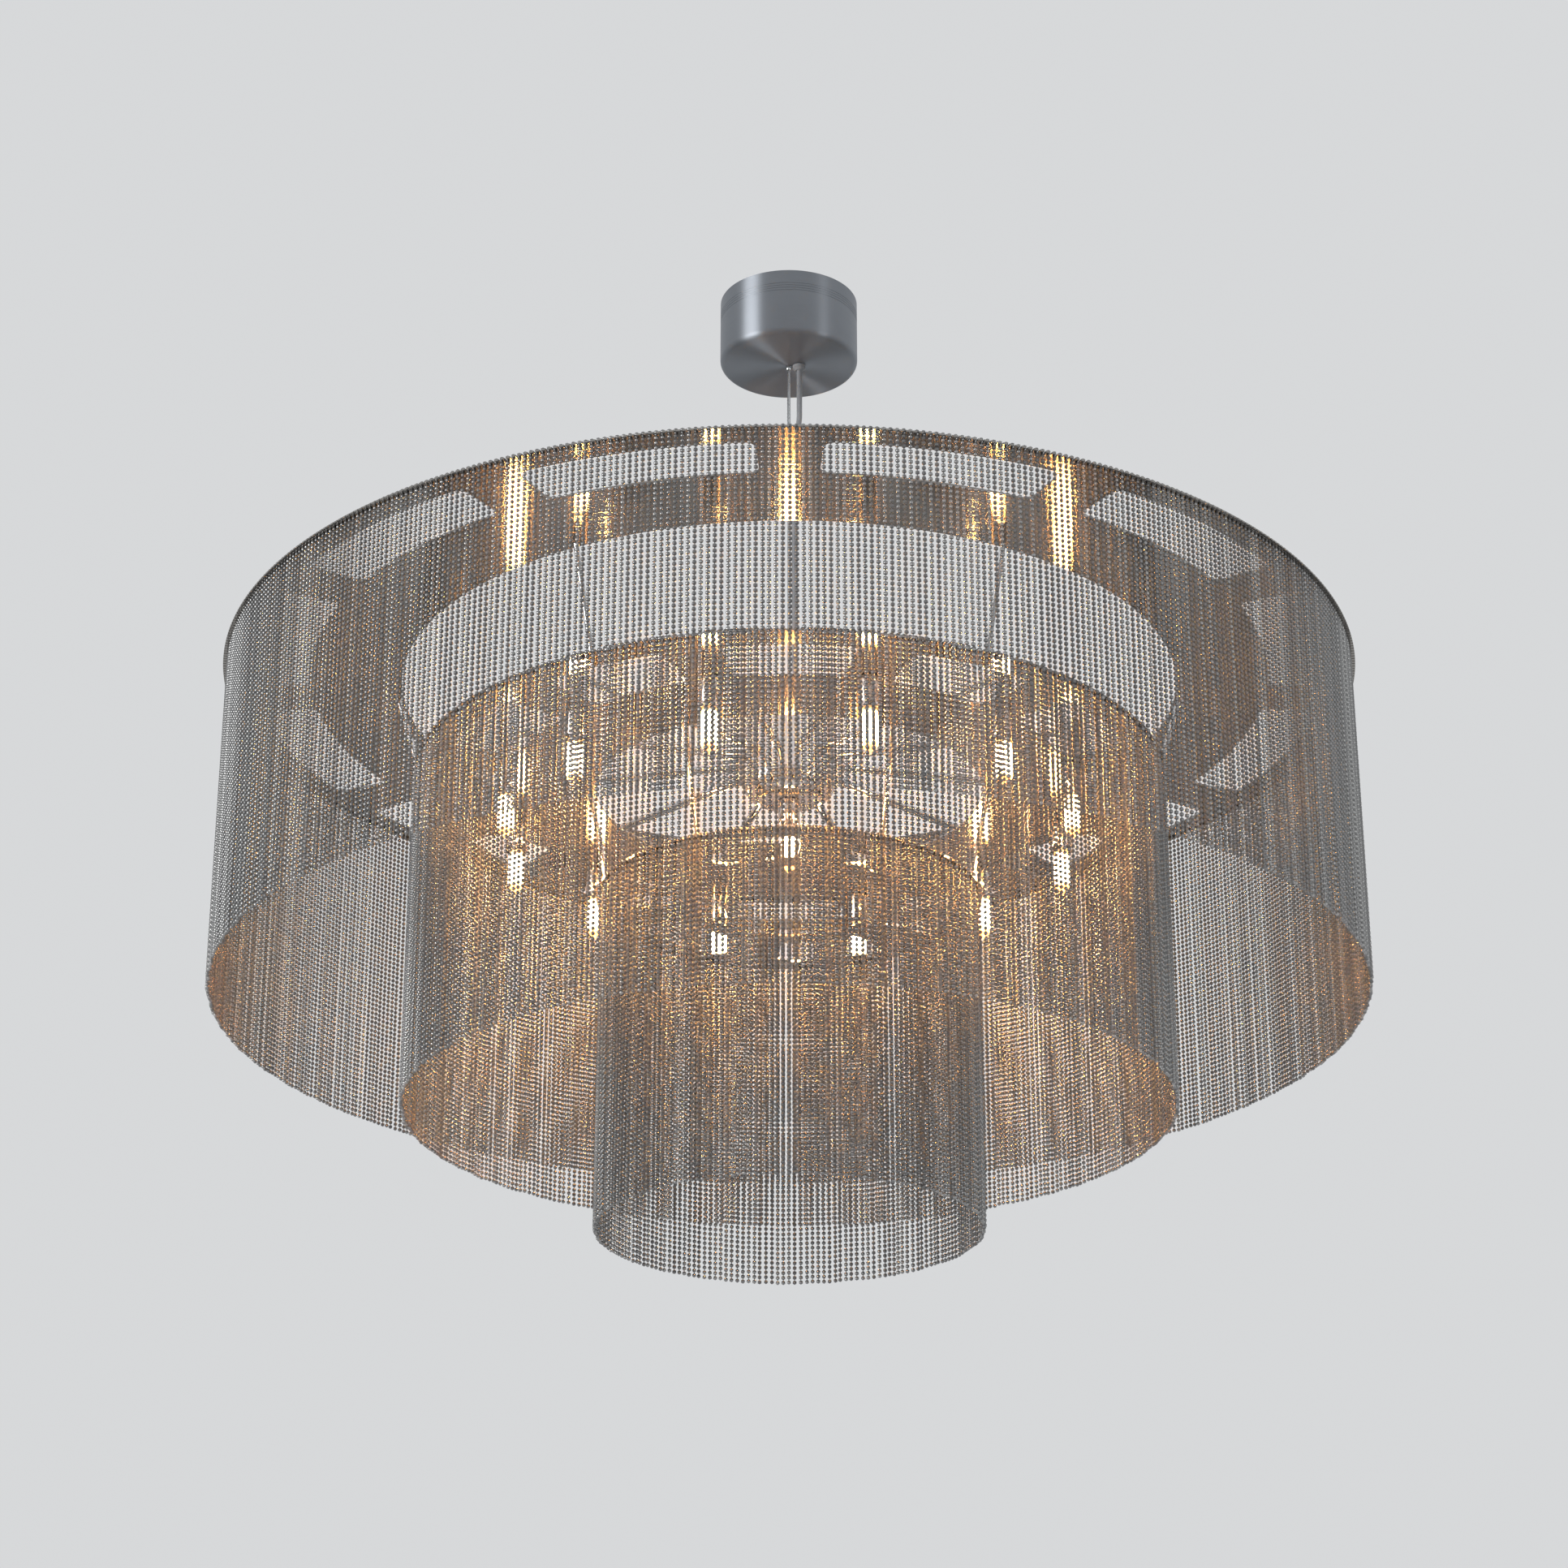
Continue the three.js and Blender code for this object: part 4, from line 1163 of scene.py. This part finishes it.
def hanging_chains():
    tree, inputs = group("hanging chains", {
        "Chains": 100, "Balls": BALLS, "Chain Circle": 0.5, "First Angle": 0.0, "Chain Step": 0.01,
        "Top": 0.0, "Pitch": 0.00445, "First Step": FIRST_STEP, "Ball Radius": BALL_RADIUS,
        "Link Radius": LINK_RADIUS, "Unlike Lengths": 0.0010, "Length Wave": 0.0022,
        "Unlike Places": 0.00025, "Drift": 0.0007, "Drift Size": 0.030, "Seed": 1, "Dull": None,
        "Plain": None, "Bright": None})
    number = tree.shape("InputIndex")

    def chance(low, high, chain, offset):
        """A chain's random number from low to high. Each offset gives it a new one."""
        return tree.add("FunctionNodeRandomValue", {
            2: low, 3: high, "ID": chain, "Seed": inputs["Seed"] + offset}, output=1)

    def slow_wave(angle, offset):
        """Smooth noise round the circle, about -1 to 1. Each offset gives a new wave."""
        spot = angle * inputs["Chain Circle"] / inputs["Drift Size"] + offset
        noise = tree.add("ShaderNodeTexNoise", {"W": spot, "Scale": 1.0, "Detail": 2.0},
                         noise_dimensions="1D")
        return noise * 4.0 - 2.0

    def hang(chain, ball):
        """Where a ball is, by its chain and its place down the chain."""
        angle = inputs["First Angle"] + chain * inputs["Chain Step"]
        share = ball / inputs["Balls"]
        stretch = (1.0 + inputs["Unlike Lengths"] * chance(-1.0, 1.0, chain, 0.0)
                   + inputs["Length Wave"] * slow_wave(angle, 40.0))
        below = tree.maths("MINIMUM", ball, 1.0)
        fall = tree.maths("MAXIMUM", ball - 1.0, 0.0)
        height = (inputs["Top"] + inputs["Ball Radius"]
                  - below * inputs["First Step"] - fall * inputs["Pitch"] * stretch)
        places = inputs["Unlike Places"]
        aside = (places * chance(-1.0, 1.0, chain, 1.0)
                 + inputs["Drift"] * slow_wave(angle, 0.0)) * share
        outwards = (places * 2.0 * chance(-1.0, 1.0, chain, 2.0)
                    + inputs["Drift"] * slow_wave(angle, 80.0)) * share
        swung = angle + aside / inputs["Chain Circle"]
        return polar(tree, inputs["Chain Circle"] + outwards, swung, height)

    chain = tree.maths("FLOOR", (number + 0.5) / inputs["Balls"])
    ball = number - chain * inputs["Balls"]
    kinds = []
    # The flat faces of a coarse ball lie inside the round one, so it is made a little larger
    sphere = tree.shape("MeshIcoSphere", {
        "Radius": inputs["Ball Radius"] * BALL_SWELL_SHARE, "Subdivisions": 1})
    smooth = tree.shape("SetShadeSmooth", {"Geometry": sphere})
    for nickel in ("Dull", "Plain", "Bright"):
        painted = tree.shape("SetMaterial", {"Geometry": smooth, "Material": inputs[nickel]})
        kinds.append(tree.shape("GeometryToInstance", {"Geometry": painted}))
    choice = tree.shape("JoinGeometry", {"Geometry": kinds})
    # The balls of a chain are turned alike, so that its highlights stand in a column
    twist = tree.vector(z=chance(0.0, math.tau, chain, 4.0))
    pick = chance(0.0, len(kinds) - 0.01, chain, 3.0)
    balls = spread(tree, choice, inputs["Chains"] * inputs["Balls"], hang(chain, ball),
                   Rotation=twist, **{"Pick Instance": True, "Instance Index": pick})
    # One thin wire down each chain stands for its links
    top = hang(number, number * 0.0)
    foot = hang(number, number * 0.0 + (inputs["Balls"] - 1.0))
    ways = tree.vector_maths("SUBTRACT", foot, top)
    length = tree.vector_maths("LENGTH", ways, output="Value")
    both_ends = tree.vector_maths("ADD", foot, top)
    centre = tree.vector_maths("MULTIPLY", both_ends, (0.5, 0.5, 0.5))
    aim = tree.add("FunctionNodeAlignRotationToVector", {"Vector": ways}, axis="Z")
    wire = tree.shape("MeshCylinder", {
        "Vertices": 3, "Radius": inputs["Link Radius"], "Depth": 1.0})
    wires = spread(tree, wire, inputs["Chains"], centre,
                   Rotation=aim, Scale=tree.vector(1.0, 1.0, length))
    plain_wires = tree.shape("SetMaterial", {"Geometry": wires, "Material": inputs["Dull"]})
    both = tree.shape("JoinGeometry", {"Geometry": [balls, plain_wires]})
    real = tree.shape("RealizeInstances", {"Geometry": both})
    tree.add("NodeGroupOutput", {"Geometry": real})
    return tree


def build_curtains():
    shade_darkened_nickels = [finish(name, {"Base Color": colour, "Metallic": 1.0, "Roughness": roughness})
               for name, colour, roughness in SHADE_DARKENED_NICKELS]
    tree = hanging_chains()
    pitch = (CHAIN_LENGTH - FIRST_STEP) / (BALLS - 2)
    for tier, sectors in CURTAINS.items():
        plate = PLATES[tier]
        step = math.tau / plate["chains"]
        each = plate["chains"] // sectors
        for sector in range(sectors):
            node = f"{tier}_curtain_{sector + 1}"
            name = f"{tier}_chains_{sector + 1}"
            mesh = grown(name, tree, {
                "Chains": each, "Balls": BALLS, "Chain Circle": plate["radius"],
                "First Angle": (sector * each - CHAINS_BEFORE) * step, "Chain Step": step,
                "Top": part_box(node)[0].z + CHAIN_LENGTH, "Pitch": pitch,
                "Seed": 10 * sectors + sector,
                "Dull": shade_darkened_nickels[0], "Plain": shade_darkened_nickels[1], "Bright": shade_darkened_nickels[2]})
            add_piece(name, mesh, None, "fixture", "chain", node)


build_curtains()
